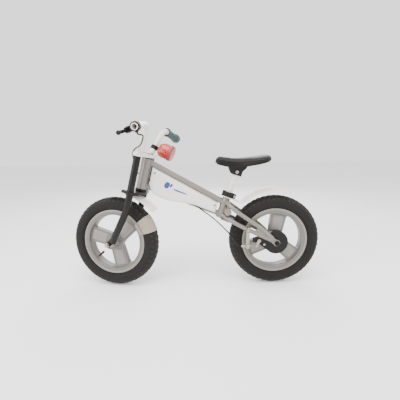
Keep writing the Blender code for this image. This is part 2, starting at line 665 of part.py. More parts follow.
def make_panels():
    runs = DOWN_TUBE_SEAT - DOWN_TUBE_HEAD
    route = cable_route()
    entry = route[9].lerp(route[10], 0.5)
    leaving = route[13].lerp(route[14], 0.5)
    for side, name in ((-1, "left"), (1, "right")):
        near, far = sorted((side * CLEARANCE / 2, side * PANEL_HALF_WIDTH))
        panel = prism(panel_outline(0.0), near, far, 0.0015)
        near, far = sorted((-side * 0.01, side * (PANEL_HALF_WIDTH - PANEL_WALL)))
        tools = [
            prism(panel_outline(PANEL_WALL), near, far),
            tube_line(DOWN_TUBE_HEAD - runs * 0.2, DOWN_TUBE_SEAT + runs * 0.2,
                      DOWN_TUBE_RADIUS + PANEL_GAP / 2, 18),
            tube_line(entry - (entry - route[9]) * 2, entry + (route[10] - entry) * 0.4,
                      CABLE_RADIUS * 1.9, 10),
            tube([leaving, route[14], route[15]], CABLE_RADIUS * 1.7, 10),
        ]
        for place in panel_screw_places().values():
            tools.append(moved(disc(SCREW_RADIUS + CLEARANCE, -0.05, 0.05, 12), place))
        cut(panel, *tools)
        node(panel, f"side_panel_{name}", white_plastic)
        for where, place in panel_screw_places().items():
            out = side * (PANEL_HALF_WIDTH + CLEARANCE)
            head = side * (PANEL_HALF_WIDTH + CLEARANCE + SCREW_HEAD_HEIGHT)
            tip = side * (PANEL_HALF_WIDTH - SCREW_LENGTH)
            screw = lathe(
                [(0.0, tip), (SCREW_RADIUS, tip), (SCREW_RADIUS, out), (SCREW_HEAD_RADIUS, out),
                 (SCREW_HEAD_RADIUS * 0.7, head), (0.0, head)], 14, "Y", False)
            node(moved(screw, place), f"panel_screw_{name}_{where}", zinc)


make_panels()


# Mudguards: thin curved shells over the tyres
def guard(path, half_widths, crowns, across=6):
    """A strip along a path in the XZ plane, arched across its width, with a wall."""
    bm = bmesh.new()
    skins = []
    for depth in (0.0, MUDGUARD_WALL):
        rows = []
        for index, point in enumerate(path):
            ahead = path[min(index + 1, len(path) - 1)] - path[max(index - 1, 0)]
            outward = Vector((-ahead.z, 0.0, ahead.x)).normalized()
            rows.append([
                bm.verts.new(
                    point
                    + Vector((0.0, half_widths[index] * share, 0.0))
                    - outward * (crowns[index] * share**2 + depth)
                )
                for share in (2 * step / across - 1 for step in range(across + 1))
            ])
        skins.append(rows)
    for rows in skins:
        for near, far in zip(rows, rows[1:]):
            for step in range(across):
                bm.faces.new((near[step], near[step + 1], far[step + 1], far[step]))
    for outer, inner in ((skins[0][0], skins[1][0]), (skins[0][-1], skins[1][-1])):
        for step in range(across):
            bm.faces.new((outer[step], outer[step + 1], inner[step + 1], inner[step]))
    for edge in (0, across):
        for row in range(len(path) - 1):
            outer, inner = skins[0], skins[1]
            bm.faces.new((outer[row][edge], outer[row + 1][edge], inner[row + 1][edge], inner[row][edge]))
    return blank(bm)


def rounded_ends(count, full, ends=2):
    """Half widths that draw in over the last points at each end."""
    shape = (0.62, 0.9)
    widths = [full] * count
    for index in range(ends):
        widths[index] = full * shape[index]
        widths[count - 1 - index] = full * shape[index]
    return widths


def make_front_guard():
    radius = TYRE_DIAMETER / 2
    path = []
    for step in range(15):
        share = step / 14
        turn = math.radians(108 - 57 * share)
        reach = radius + 0.0185 + 0.0185 * math.sin(share * math.pi / 2)
        path.append(FRONT_AXLE_PLACE + Vector((math.cos(turn), 0.0, math.sin(turn))) * reach)
    guard_top = min(path, key=lambda point: abs(point.x)).z
    shell = guard(path, rounded_ends(15, MUDGUARD_HALF_WIDTH), [FRONT_GUARD_CROWN] * 15)
    cut(shell, disc(GUARD_BOLT_RADIUS * 1.6, guard_top - 0.02, guard_top + 0.02, 14, "Z"))
    node(shell, "front_mudguard", white_plastic, steering)
    seat = guard_top - MUDGUARD_WALL - 0.0030
    bolt = lathe(
        [(0.0, seat - 0.004), (GUARD_BOLT_RADIUS * 1.8, seat - 0.004), (GUARD_BOLT_RADIUS * 1.8, seat),
         (GUARD_BOLT_RADIUS, seat), (GUARD_BOLT_RADIUS, guard_top + 0.0028),
         (GUARD_BOLT_HEAD, guard_top + 0.0028),
         (GUARD_BOLT_HEAD, LOWER_CROWN_BOTTOM - CLEARANCE),
         (GUARD_BOLT_RADIUS, LOWER_CROWN_BOTTOM - CLEARANCE),
         (GUARD_BOLT_RADIUS, LOWER_CROWN_BOTTOM + 0.003),
         (STEERER_BORE - CLEARANCE, LOWER_CROWN_BOTTOM + 0.003),
         (STEERER_BORE - CLEARANCE, LOWER_CROWN_BOTTOM + 0.014), (0.0, LOWER_CROWN_BOTTOM + 0.014)],
        16, "Z", False)
    node(bolt, "front_mudguard_bolt", zinc, steering)


def make_rear_guard():
    across_seat = Vector((math.cos(SEAT_ANGLE), 0.0, -math.sin(SEAT_ANGLE)))
    eye = SEAT_TUBE_TOP - SEAT_UP * (COLLAR_HEIGHT / 2 + RUNNING)
    height = TYRE_DIAMETER / 2 + REAR_GUARD_HEIGHT

    def over_tyre(degrees, extra=0.0):
        turn = math.radians(degrees)
        return REAR_AXLE + Vector((math.cos(turn), 0.0, math.sin(turn))) * (height + extra)

    points = [eye - across_seat * 0.024, eye, eye + across_seat * 0.022, over_tyre(130.5, -0.007),
              over_tyre(118, -0.001), over_tyre(104), over_tyre(90), over_tyre(80, -0.002),
              over_tyre(72, -0.006)]
    path = smooth(points, 0.0125)
    widths, crowns = [], []
    for index in range(len(path)):
        share = index / (len(path) - 1)
        opened = min(1.0, max(0.0, (share - 0.22) / 0.2))
        widths.append(REAR_GUARD_TONGUE + (MUDGUARD_HALF_WIDTH - REAR_GUARD_TONGUE) * opened)
        crowns.append(REAR_GUARD_CROWN * opened)
    widths[0] *= 0.7
    widths[-1] *= 0.62
    widths[-2] *= 0.9
    crowns[-1] *= 0.5
    shell = guard(path, widths, crowns)
    eye_hole = tube(
        [eye - SEAT_UP * 0.02, eye + SEAT_UP * 0.02], SEAT_TUBE_RADIUS + CLEARANCE, 24)
    cut(shell, eye_hole)
    node(shell, "rear_mudguard", white_plastic)


make_front_guard()
make_rear_guard()


# Wheels: a cast rim with three broad spokes, tyre, inner tube with its valve, and two bearings
def window_cutter(spoke_angle, half_thickness):
    """The opening between one spoke and the next, with rounded corners."""
    pitch = math.tau / SPOKE_COUNT
    reach = RIM_INNER_RADIUS - WINDOW_LIP

    def edge(angle, side, distance):
        width = SPOKE_ROOT_WIDTH + (SPOKE_TIP_WIDTH - SPOKE_ROOT_WIDTH) * distance / reach
        along = Vector((math.cos(angle), 0.0, math.sin(angle)))
        return along * distance + Vector((-along.z, 0.0, along.x)) * (side * width / 2)

    low, high = edge(spoke_angle, 1, 0.0), edge(spoke_angle, 1, reach)
    other_low, other_high = edge(spoke_angle + pitch, -1, 0.0), edge(spoke_angle + pitch, -1, reach)
    root = meet(low, high - low, other_low, other_high - other_low)
    start = math.asin(SPOKE_TIP_WIDTH / 2 / reach)
    outline = [(root.x, root.z)]
    for step in range(11):
        turn = spoke_angle + start + (pitch - 2 * start) * step / 10
        outline.append((reach * math.cos(turn), reach * math.sin(turn)))
    bm = bmesh.new()
    face = bm.faces.new([bm.verts.new((x, -half_thickness, z)) for x, z in outline])
    made = bmesh.ops.extrude_face_region(bm, geom=[face])
    bmesh.ops.translate(
        bm, vec=(0.0, 2 * half_thickness, 0.0),
        verts=[part for part in made["geom"] if isinstance(part, bmesh.types.BMVert)])
    corners = [Vector(outline[index]) for index in (0, 1, -1)]
    rounded = []
    for line in bm.edges:
        near, far = (vert.co.xz for vert in line.verts)
        if (near - far).length < 1e-7 and min((near - corner).length for corner in corners) < 1e-5:
            rounded.append(line)
    bmesh.ops.bevel(bm, geom=rounded, offset=WINDOW_FILLET, segments=3, profile=0.5, affect="EDGES")
    return blank(bm)


def make_rim(name, spoke_angle, hub_left, hub_right, valve_angle, parent):
    seat = TYRE_BEAD_RADIUS - CLEARANCE
    inside = RIM_HALF_WIDTH - RIM_WALL
    web = SPOKE_THICKNESS / 2
    bore, recess = AXLE_RADIUS + RUNNING, BEARING_RADIUS + CLEARANCE
    deep_left = hub_left + BEARING_WIDTH + CLEARANCE
    deep_right = hub_right - BEARING_WIDTH - CLEARANCE
    rim = lathe([
        (bore, deep_left), (recess, deep_left), (recess, hub_left), (HUB_RADIUS, hub_left),
        (HUB_RADIUS, -web),
        (RIM_INNER_RADIUS, -web), (RIM_INNER_RADIUS, -RIM_HALF_WIDTH + 0.0008),
        (RIM_FLANGE_RADIUS, -RIM_HALF_WIDTH),
        (RIM_FLANGE_RADIUS, -inside), (seat, -inside), (seat, -0.011), (RIM_INNER_RADIUS + RIM_WALL, -0.009),
        (RIM_INNER_RADIUS + RIM_WALL, 0.009), (seat, 0.011), (seat, inside), (RIM_FLANGE_RADIUS, inside),
        (RIM_FLANGE_RADIUS, RIM_HALF_WIDTH), (RIM_INNER_RADIUS, RIM_HALF_WIDTH - 0.0008),
        (RIM_INNER_RADIUS, web),
        (HUB_RADIUS, web), (HUB_RADIUS, hub_right), (recess, hub_right), (recess, deep_right),
        (bore, deep_right),
    ], WHEEL_STEPS, phase=math.pi / WHEEL_STEPS)
    way = Vector((math.cos(valve_angle), 0.0, math.sin(valve_angle)))
    cut(
        rim,
        *[
            window_cutter(spoke_angle + math.tau * index / SPOKE_COUNT, SPOKE_THICKNESS)
            for index in range(SPOKE_COUNT)
        ],
        tube([way * (RIM_INNER_RADIUS - 0.015), way * (RIM_INNER_RADIUS + 0.025)],
             VALVE_RADIUS + CLEARANCE, 10),
    )
    node(rim, f"{name}_rim", rim_plastic, parent)
    for side, low in (("left", hub_left), ("right", hub_right - BEARING_WIDTH)):
        bearing = ring(BEARING_RADIUS, AXLE_RADIUS + CLEARANCE, low, low + BEARING_WIDTH, 16)
        node(bearing, f"{name}_bearing_{side}", zinc, parent)


def make_tyre(name, parent):
    outer, wide = TYRE_DIAMETER / 2, TYRE_WIDTH / 2
    foot = RIM_FLANGE_RADIUS + 0.0007
    tall = outer - foot
    bead = RIM_HALF_WIDTH - RIM_WALL - CLEARANCE
    crown = outer / math.cos(math.pi / WHEEL_STEPS)
    half = [(TYRE_BEAD_RADIUS, bead), (foot, bead), (foot + tall * 0.10, wide * 0.84),
            (foot + tall * 0.40, wide),
            (foot + tall * 0.66, wide * 0.92), (foot + tall * 0.85, wide * 0.68), (crown, wide * 0.26)]
    inside = [(outer - 0.0038, wide * 0.24), (foot + tall * 0.66, wide * 0.78),
              (foot + tall * 0.30, wide * 0.84),
              (TYRE_BEAD_RADIUS, bead - 0.0045)]
    mirrored = [(radius, -width) for radius, width in half[::-1]]
    inside_mirrored = [(radius, -width) for radius, width in inside]
    profile = half + mirrored + inside_mirrored[::-1] + inside
    tyre = lathe(profile, WHEEL_STEPS, phase=math.pi / WHEEL_STEPS)
    node(tyre, f"{name}_tyre", rubber, parent)


def make_inner_tube(name, valve_angle, parent):
    centre = (TYRE_DIAMETER / 2 + TYRE_BEAD_RADIUS) / 2 - 0.001
    reach = min(TYRE_WIDTH / 2 * 0.70, (TYRE_DIAMETER / 2 - TYRE_BEAD_RADIUS) / 2 - 0.0055)
    profile = [
        (centre + reach * math.cos(turn), reach * math.sin(turn))
        for turn in (math.tau * step / 8 for step in range(8))
    ]
    body = lathe(profile, 24)
    way = Vector((math.cos(valve_angle), 0.0, math.sin(valve_angle)))
    union(body, tube([way * (RIM_INNER_RADIUS - 0.017), way * centre], VALVE_RADIUS, 8))
    node(body, f"{name}_inner_tube", rubber, parent)


make_rim("front", FRONT_SPOKE_ANGLE, -FRONT_HUB_HALF, FRONT_HUB_HALF, FRONT_VALVE_ANGLE, front_wheel_axis)
make_tyre("front", front_wheel_axis)
make_inner_tube("front", FRONT_VALVE_ANGLE, front_wheel_axis)
make_rim("rear", REAR_SPOKE_ANGLE, REAR_HUB_LEFT, REAR_HUB_RIGHT, REAR_VALVE_ANGLE, rear_wheel_axis)
make_tyre("rear", rear_wheel_axis)
make_inner_tube("rear", REAR_VALVE_ANGLE, rear_wheel_axis)


# Axles and their nuts
def make_axle(name, place, collars, dropout, parent, nut_finishes):
    end = dropout + NUT_THICKNESS + 0.0025
    (left_inner, left_outer), (right_inner, right_outer) = collars
    profile = [(0.0, -end), (AXLE_RADIUS, -end), (AXLE_RADIUS, -left_outer), (COLLAR_RADIUS, -left_outer),
               (COLLAR_RADIUS, -left_inner), (AXLE_RADIUS, -left_inner), (AXLE_RADIUS, right_inner),
               (COLLAR_RADIUS, right_inner), (COLLAR_RADIUS, right_outer), (AXLE_RADIUS, right_outer),
               (AXLE_RADIUS, end), (0.0, end)]
    axle = moved(lathe(profile, 12, "Y", False), place)
    node(axle, f"{name}_axle", zinc, parent)
    for side, label in ((-1, "left"), (1, "right")):
        low, high = sorted((side * (dropout + CLEARANCE), side * (dropout + CLEARANCE + NUT_THICKNESS)))
        nut = disc(hexagon(NUT_ACROSS_FLATS), low, high, 6)
        cut(nut, disc(AXLE_RADIUS + CLEARANCE, -0.1, 0.1, 16))
        node(moved(nut, place), f"{name}_axle_nut_{label}", nut_finishes[label], parent)


make_axle(
    "front", FRONT_AXLE_PLACE,
    [(FRONT_HUB_HALF + CLEARANCE, FRONT_DROPOUT_INSIDE - CLEARANCE)] * 2,
    FRONT_DROPOUT_INSIDE + DROPOUT_THICKNESS, steering, {"left": zinc, "right": zinc})
make_axle(
    "rear", REAR_AXLE,
    [(inner + CLEARANCE, DROPOUT_INSIDE - CLEARANCE) for inner in (HOUSING_OUTSIDE, REAR_HUB_RIGHT)],
    DROPOUT_INSIDE + DROPOUT_THICKNESS, None, {"left": black_metal, "right": zinc})


# Fork: two legs, two crowns and the steerer that turns in the headset
def make_fork_leg(side, name):
    top = UPPER_CROWN_BOTTOM + SOCKET_DEPTH - CLEARANCE
    foot = FRONT_AXLE_PLACE + Vector((LEG_FOOT_GAP, side * LEG_SPREAD, LEG_FOOT_RISE))
    bend = Vector((-LEG_AHEAD - 0.001, side * LEG_SPREAD, -LEG_BEND_DEPTH))
    path = bent([Vector((-LEG_AHEAD, side * LEG_SPREAD, top)), bend, foot], 0.12, 5)
    leg = tube(path, LEG_RADIUS, 14)
    low, high = sorted((side * FRONT_DROPOUT_INSIDE, side * (FRONT_DROPOUT_INSIDE + DROPOUT_THICKNESS)))
    edge = [(-0.0085, 0.0040), (-0.004, -0.0088), (0.004, -0.0088), (LEG_FOOT_GAP + 0.006, LEG_FOOT_RISE),
            (LEG_FOOT_GAP + 0.004, LEG_FOOT_RISE + 0.010), (LEG_FOOT_GAP - 0.009, LEG_FOOT_RISE + 0.010)]
    tab = moved(prism(edge, low, high), FRONT_AXLE_PLACE)
    eye = moved(disc(0.0095, low, high, 18), FRONT_AXLE_PLACE)
    union(leg, tab, eye)
    cut(leg, moved(disc(AXLE_RADIUS + CLEARANCE, -0.1, 0.1, 12), FRONT_AXLE_PLACE))
    return node(leg, name, black_metal, steering)


def hull(points):
    """The outline of the smallest convex shape that holds the points."""
    ordered = sorted(points)
    sides = []
    for run in (ordered, ordered[::-1]):
        side = []
        for x, z in run:
            while len(side) > 1:
                (x0, z0), (x1, z1) = side[-2:]
                if (x1 - x0) * (z - z0) > (z1 - z0) * (x - x0):
                    break
                side.pop()
            side.append((x, z))
        sides += side[:-1]
    return sides


def crown(low, high, boss_radius, centre_radius, lug):
    """A crown plate as wide as a boss for the steerer in the middle and one for a leg at each end."""
    outline = []
    for x, spread, radius in ((0.0, 0.0, centre_radius), (-LEG_AHEAD, LEG_SPREAD, boss_radius),
                              (-LEG_AHEAD, -LEG_SPREAD, boss_radius)):
        for step in range(20):
            turn = math.tau * step / 20
            outline.append((x + radius * math.cos(turn), spread + radius * math.sin(turn)))
    plate = moved(prism(hull(outline), -high, -low), turn=LAID_FLAT)
    for side in ((-1, 1) if lug else ()):
        place = Vector((-LEG_AHEAD - lug / 2, side * LEG_SPREAD, (low + high) / 2))
        union(plate, moved(box(lug, 0.013, high - low - 0.001, 0.0015), place))
    return plate


def make_crowns():
    lower = crown(LOWER_CROWN_BOTTOM, LOWER_CROWN_TOP, LOWER_CROWN_BOSS, LOWER_CROWN_CENTRE, CROWN_LUG)
    for side in (-1, 1):
        place = Vector((-LEG_AHEAD - 0.0005, side * LEG_SPREAD, 0.0))
        cut(lower, moved(disc(LEG_RADIUS + 0.0008, -0.05, 0.05, 14, "Z"), place))
    cut(lower, disc(STEERER_RADIUS + CLEARANCE, -0.05, 0.05, 24, "Z"))
    node(lower, "lower_crown", black_metal, steering)
    upper = crown(UPPER_CROWN_BOTTOM, UPPER_CROWN_TOP, UPPER_CROWN_BOSS, UPPER_CROWN_CENTRE, 0.0)
    for side in (-1, 1):
        leg_place = Vector((-LEG_AHEAD, side * LEG_SPREAD, 0.0))
        bar_place = Vector((-BAR_BASE_AHEAD, side * BAR_BASE_SPREAD, 0.0))
        cut(
            upper,
            moved(disc(LEG_RADIUS + CLEARANCE * 2, 0.0, UPPER_CROWN_BOTTOM + SOCKET_DEPTH, 18, "Z"),
                  leg_place),
            moved(disc(BAR_RADIUS + CLEARANCE * 2, UPPER_CROWN_TOP - SOCKET_DEPTH, 0.2, 18, "Z"), bar_place),
        )
    cut(upper, disc(STEERER_RADIUS + CLEARANCE, 0.0, 0.2, 24, "Z"))
    node(upper, "upper_crown", white_metal, steering)
    steerer = ring(STEERER_RADIUS, STEERER_BORE, LOWER_CROWN_BOTTOM, UPPER_CROWN_TOP, 24, "Z")
    node(steerer, "steerer", zinc, steering)


make_fork_leg(-1, "fork_leg_left")
make_fork_leg(1, "fork_leg_right")
make_crowns()


# Handlebar: two bent pipes that stand in the upper crown
def bar_points(side):
    base = Vector((-BAR_BASE_AHEAD, side * BAR_BASE_SPREAD, UPPER_CROWN_TOP - SOCKET_DEPTH + CLEARANCE))
    corner = Vector((BAR_CORNER_BACK, side * BAR_CORNER_SPREAD, UPPER_CROWN_TOP + BAR_RISE))
    end = Vector((BAR_END_BACK, side * HANDLEBAR_WIDTH / 2, UPPER_CROWN_TOP + BAR_RISE - BAR_END_DROP))
    return [base, base + Vector((0.0, 0.0, SOCKET_DEPTH + 0.004)), corner, end]


def make_handlebar():
    for side, name in ((-1, "left"), (1, "right")):
        bar = tube(bent(bar_points(side), BAR_BEND_RADIUS, 5), BAR_RADIUS, 14, BAR_RADIUS - BAR_WALL)
        node(bar, f"handlebar_{name}", white_metal, steering)


def bar_end_frame(side):
    """At the bar's end, with +Z running outwards along the bar."""
    corner, end = bar_points(side)[2:]
    return Matrix.Translation(end) @ aimed(end - corner, Vector((1, 0, 0)))


def make_grip():
    bore = BAR_RADIUS + CLEARANCE
    low = -GRIP_LENGTH
    grip = lathe([(0.0, low), (GRIP_COLLAR_RADIUS, low), (GRIP_COLLAR_RADIUS, low + 0.004),
                  (GRIP_RADIUS, low + 0.007), (GRIP_RADIUS, -0.030), (GRIP_FLARE_RADIUS, -0.012),
                  (GRIP_FLARE_RADIUS, 0.001), (GRIP_RADIUS, 0.0055), (0.0, 0.0065)], 20, "Z", False)
    cut(grip, disc(bore, low - 0.01, CLEARANCE, 20, "Z"))
    grip.data.transform(bar_end_frame(1))
    node(grip, "grip_right", grip_rubber, steering)


make_handlebar()
make_grip()


# Brake lever on the left bar: a clamp with two cheeks, a pin and the blade
def strap(points, half_widths):
    """The outline of a flat strap that follows points in its own plane."""
    near, far = [], []
    for index, (x, z) in enumerate(points):
        before = points[max(index - 1, 0)]
        after = points[min(index + 1, len(points) - 1)]
        across = Vector((-(after[1] - before[1]), after[0] - before[0])).normalized() * half_widths[index]
        near.append((x + across.x, z + across.y))
        far.append((x - across.x, z - across.y))
    return near + far[::-1]


def lever_frame():
    """At the left bar's end: +X runs ahead and down by the droop, +Y outwards along the bar."""
    corner, end = bar_points(-1)[2:]
    outward = (end - corner).normalized()
    ahead = Vector((-math.cos(LEVER_DROOP), 0.0, -math.sin(LEVER_DROOP)))
    ahead = (ahead - outward * ahead.dot(outward)).normalized()
    turn = Matrix((ahead, outward, ahead.cross(outward))).transposed().to_4x4()
    return Matrix.Translation(end) @ turn


bar_end = lever_frame()
lever_axis = empty("brake_lever_axis", bar_end @ Matrix.Translation(LEVER_PIVOT), steering)


def make_lever():
    bracket = disc(BRACKET_RING_RADIUS, -0.017, -0.003, 22)
    body = box(0.022, 0.019, BRACKET_HALF_HEIGHT * 2, 0.002)
    body = moved(body, Vector((LEVER_PIVOT.x - 0.0035, LEVER_PIVOT.y + 0.0015, 0.0)))
    barrel = disc(CABLE_BARREL_RADIUS, CABLE_SEAT.z + CLEARANCE, -0.004, 12, "Z")
    barrel = moved(barrel, Vector((CABLE_SEAT.x, CABLE_SEAT.y, 0.0)))
    union(bracket, body, barrel)
    slot = box(0.030, 0.06, LEVER_THICKNESS + CLEARANCE * 2)
    cut(
        bracket,
        disc(BAR_RADIUS + CLEARANCE, -0.05, 0.05, 20),
        moved(slot, Vector((LEVER_PIVOT.x + 0.0075, LEVER_PIVOT.y + 0.0015, 0.0))),
        moved(disc(LEVER_PIN_RADIUS + CLEARANCE, -0.02, 0.02, 12, "Z"), LEVER_PIVOT),
    )
    bracket.data.transform(bar_end)
    node(bracket, "brake_lever_bracket", black_plastic, steering)
    reach = BRACKET_HALF_HEIGHT + CLEARANCE
    pin = lathe([(0.0, -reach - PIN_HEAD_HEIGHT), (LEVER_PIN_HEAD, -reach - PIN_HEAD_HEIGHT),
                 (LEVER_PIN_HEAD, -reach),
                 (LEVER_PIN_RADIUS, -reach), (LEVER_PIN_RADIUS, reach), (LEVER_PIN_HEAD, reach),
                 (LEVER_PIN_HEAD, reach + PIN_HEAD_HEIGHT), (0.0, reach + PIN_HEAD_HEIGHT)], 12, "Z", False)
    node(moved(pin, LEVER_PIVOT), "brake_lever_pin", zinc, steering).data.transform(bar_end)
    half = LEVER_THICKNESS / 2
    line = [(0.0, 0.0), (0.0085, 0.0095), (0.0125, 0.0255), (0.0130, 0.0390)]
    blade = moved(prism(strap(line, [0.0050, 0.0056, 0.0050, 0.0058]), -half, half), turn=LAID_FLAT)
    boss = disc(0.0054, -half - 0.0001, half + 0.0001, 18, "Z")
    ball = lathe([(0.0, -0.0065), (0.0046, -0.0046), (0.0065, 0.0), (0.0046, 0.0046), (0.0, 0.0065)], 14,
                 "Z", False)
    union(blade, boss, moved(ball, Vector((0.0130, 0.0410, 0.0))))
    cut(blade, disc(LEVER_PIN_RADIUS + CLEARANCE, -0.02, 0.02, 12, "Z"))
    node(blade, "brake_lever_blade", black_plastic, lever_axis)


make_lever()


# Bell on the right bar
def make_bell():
    base, rise = bar_points(1)[1:3]
    along = (rise - base).normalized()
    place = base + along * ((BELL_CENTRE.z - base.z) / along.z)
    band = disc(BELL_BAND_RADIUS, -0.0065, 0.0065, 20, "Z")
    band.data.transform(Matrix.Translation(place) @ aimed(along))
    foot = moved(box(0.008, 0.010, 0.010), Vector((BELL_CENTRE.x - 0.0052, place.y, BELL_CENTRE.z)))
    union(band, foot)
    bore = disc(BAR_RADIUS + CLEARANCE, -0.03, 0.03, 18, "Z")
    bore.data.transform(Matrix.Translation(place) @ aimed(along))
    cut(band, bore)
    node(band, "bell_clamp", black_plastic, steering)
    turn = Matrix.Translation(BELL_CENTRE) @ Matrix.Rotation(math.pi / 2 + BELL_SQUAT, 4, "Y")
    shoulder = BELL_LENGTH - 0.014
    wide, wall = BELL_RADIUS, BELL_WALL
    cup = lathe([(0.0, 0.0), (wide * 0.5, 0.0), (wide * 0.87, 0.010), (wide, 0.026), (wide, shoulder),
                 (wide - wall, shoulder), (wide - wall, 0.027), (wide * 0.87 - wall, 0.0115),
                 (wide * 0.5 - wall, wall), (0.0, wall)], 24, "Z", False)
    cup.data.transform(turn)
    hinge = BELL_CENTRE + BELL_LEVER_PLACE
    for side in (-1, 1):
        union(cup, moved(box(0.0062, 0.0120, 0.0018), hinge + Vector((0.0, 0.0033, side * 0.0049))))
    union(cup, moved(disc(BELL_PIN_RADIUS, -0.0052, 0.0052, 10, "Z"), hinge))
    node(cup, "bell_body", bell_plastic, steering)
    wide += 0.0006
    low = shoulder + CLEARANCE
    cap = lathe([(0.0, BELL_LENGTH), (wide - 0.004, BELL_LENGTH), (wide, BELL_LENGTH - 0.004), (wide, low),
                 (wide - wall, low), (wide - wall, BELL_LENGTH - 0.005), (0.0, BELL_LENGTH - wall)], 24,
                 "Z", False)
    cap.data.transform(turn)
    node(cap, "bell_cap", bell_plastic, steering)
    flap = prism(strap([(0.0, 0.0), (0.006, -0.0022), (0.018, -0.0052), (0.028, -0.0062)],
                       [0.0020, 0.0016, 0.0014, 0.0013]), -0.0034, 0.0034)
    union(moved(flap, turn=LAID_FLAT), disc(0.0027, -0.0037, 0.0037, 12, "Z"))
    cut(flap, disc(BELL_PIN_RADIUS + CLEARANCE, -0.02, 0.02, 10, "Z"))
    node(flap, "bell_lever", bell_plastic, bell_axis)


bell_axis = empty("bell_lever_axis", Matrix.Translation(BELL_CENTRE + BELL_LEVER_PLACE), steering)
make_bell()


# Band brake on the rear hub's left side, its arm, and the cable that works it
arm_axis = empty("brake_arm_axis", Matrix.Translation(REAR_AXLE + ARM_PIVOT_PLACE))


def rivet(inner, outer, radius, head, thickness):
    """A pin along Y with a head at each end."""
    return lathe([(0.0, inner - thickness), (head, inner - thickness), (head, inner), (radius, inner),
                  (radius, outer), (head, outer), (head, outer + thickness), (0.0, outer + thickness)],
                  14, "Y", False)


def make_brake():
    drum_face = REAR_HUB_LEFT - CLEARANCE
    drum_end = -BAND_OUTSIDE - 0.001
    drum = lathe([(AXLE_RADIUS + 0.001, drum_face), (DRUM_RADIUS, drum_face), (DRUM_RADIUS, drum_end),
                  (DRUM_RADIUS - 0.003, drum_end), (DRUM_RADIUS - 0.003, drum_face - 0.003),
                  (AXLE_RADIUS + 0.001, drum_face - 0.003)], 28)
    node(drum, "brake_drum", black_metal, rear_wheel_axis)

    band_inner = DRUM_RADIUS + RUNNING
    band = ring(band_inner + BAND_THICKNESS, band_inner, -BAND_OUTSIDE, -BAND_INSIDE, 28)
    width = BAND_OUTSIDE - BAND_INSIDE
    middle = -(BAND_OUTSIDE + BAND_INSIDE) / 2
    for reach, height, thickness in ((0.0105, ANCHOR_PLACE.z, 0.0085),
                                     (0.0130, -ANCHOR_PLACE.z, BAND_THICKNESS)):
        ear = box(reach, width, thickness)
        union(band, moved(ear, Vector((-band_inner - reach / 2, middle, height))))
    cut(band, moved(box(0.008, 0.02, 0.0075), Vector((-band_inner - 0.001, middle, 0.0))))
    cut(band, moved(disc(PIN_RADIUS + CLEARANCE, -0.05, 0.0, 12), ANCHOR_PLACE))
    node(moved(band, REAR_AXLE), "brake_band", zinc)

    rim_low = -HOUSING_OUTSIDE + PLATE_THICKNESS
    housing_bore = HOUSING_RADIUS - PLATE_THICKNESS
    housing = lathe([(0.0, -HOUSING_OUTSIDE), (HOUSING_RADIUS, -HOUSING_OUTSIDE),
                     (HOUSING_RADIUS, -HOUSING_INSIDE),
                     (housing_bore, -HOUSING_INSIDE), (housing_bore, rim_low), (0.0, rim_low)], 32, "Y",
                     False)
    cut(housing, moved(box(0.022, 0.02, 0.026), Vector((-HOUSING_RADIUS, rim_low + 0.01, 0.0))))
    arm = [(-0.022, 0.034), (-0.066, 0.020), (-0.079, 0.018), (-0.079, 0.003), (-0.060, -0.003),
           (-0.042, -0.017),
           (-0.028, -0.028)]
    union(housing, prism(arm, -HOUSING_OUTSIDE, rim_low))
    cut(
        housing,
        disc(AXLE_RADIUS + CLEARANCE, -0.06, 0.0, 16),
        moved(disc(PIN_RADIUS + CLEARANCE, -0.06, 0.0, 12), ANCHOR_PLACE),
        moved(disc(PIN_RADIUS + CLEARANCE, -0.06, 0.0, 12), ARM_PIVOT_PLACE),
    )
    node(moved(housing, REAR_AXLE), "brake_housing", black_metal)
    anchor = rivet(-HOUSING_OUTSIDE - CLEARANCE - PIN_HEAD_HEIGHT, -BAND_INSIDE + CLEARANCE,
                   PIN_RADIUS, PIN_HEAD_RADIUS, PIN_HEAD_HEIGHT)
    node(moved(anchor, REAR_AXLE + ANCHOR_PLACE), "brake_band_pin", zinc)

    arm_outer = -HOUSING_OUTSIDE - CLEARANCE * 2 - ARM_THICKNESS
    arm_inner = arm_outer + ARM_THICKNESS
    plate = prism(strap([(0.0, 0.0), (ARM_CLAMP.x, ARM_CLAMP.z)], [0.0050, 0.0042]), arm_outer, arm_inner)
    union(
        plate,
        disc(0.0060, arm_outer - 0.0001, arm_inner + 0.0001, 16),
        moved(disc(0.0050, arm_outer - 0.0001, arm_inner + 0.0001, 16), ARM_CLAMP),
        rivet(arm_outer, rim_low + CLEARANCE, PIN_RADIUS, PIN_HEAD_RADIUS, PIN_HEAD_HEIGHT),
    )
    cut(plate, moved(disc(CLAMP_SCREW_RADIUS + CLEARANCE, -0.06, 0.0, 12), ARM_CLAMP))
    node(plate, "brake_arm", zinc, arm_axis)
    screw = lathe([(0.0, arm_outer - 0.0045), (0.0040, arm_outer - 0.0045), (0.0040, arm_outer - CLEARANCE),
                   (CLAMP_SCREW_RADIUS, arm_outer - CLEARANCE), (CLAMP_SCREW_RADIUS, arm_inner - 0.0004),
                   (0.0, arm_inner - 0.0004)], 12, "Y", False)
    node(moved(screw, ARM_CLAMP), "cable_clamp", zinc, arm_axis)


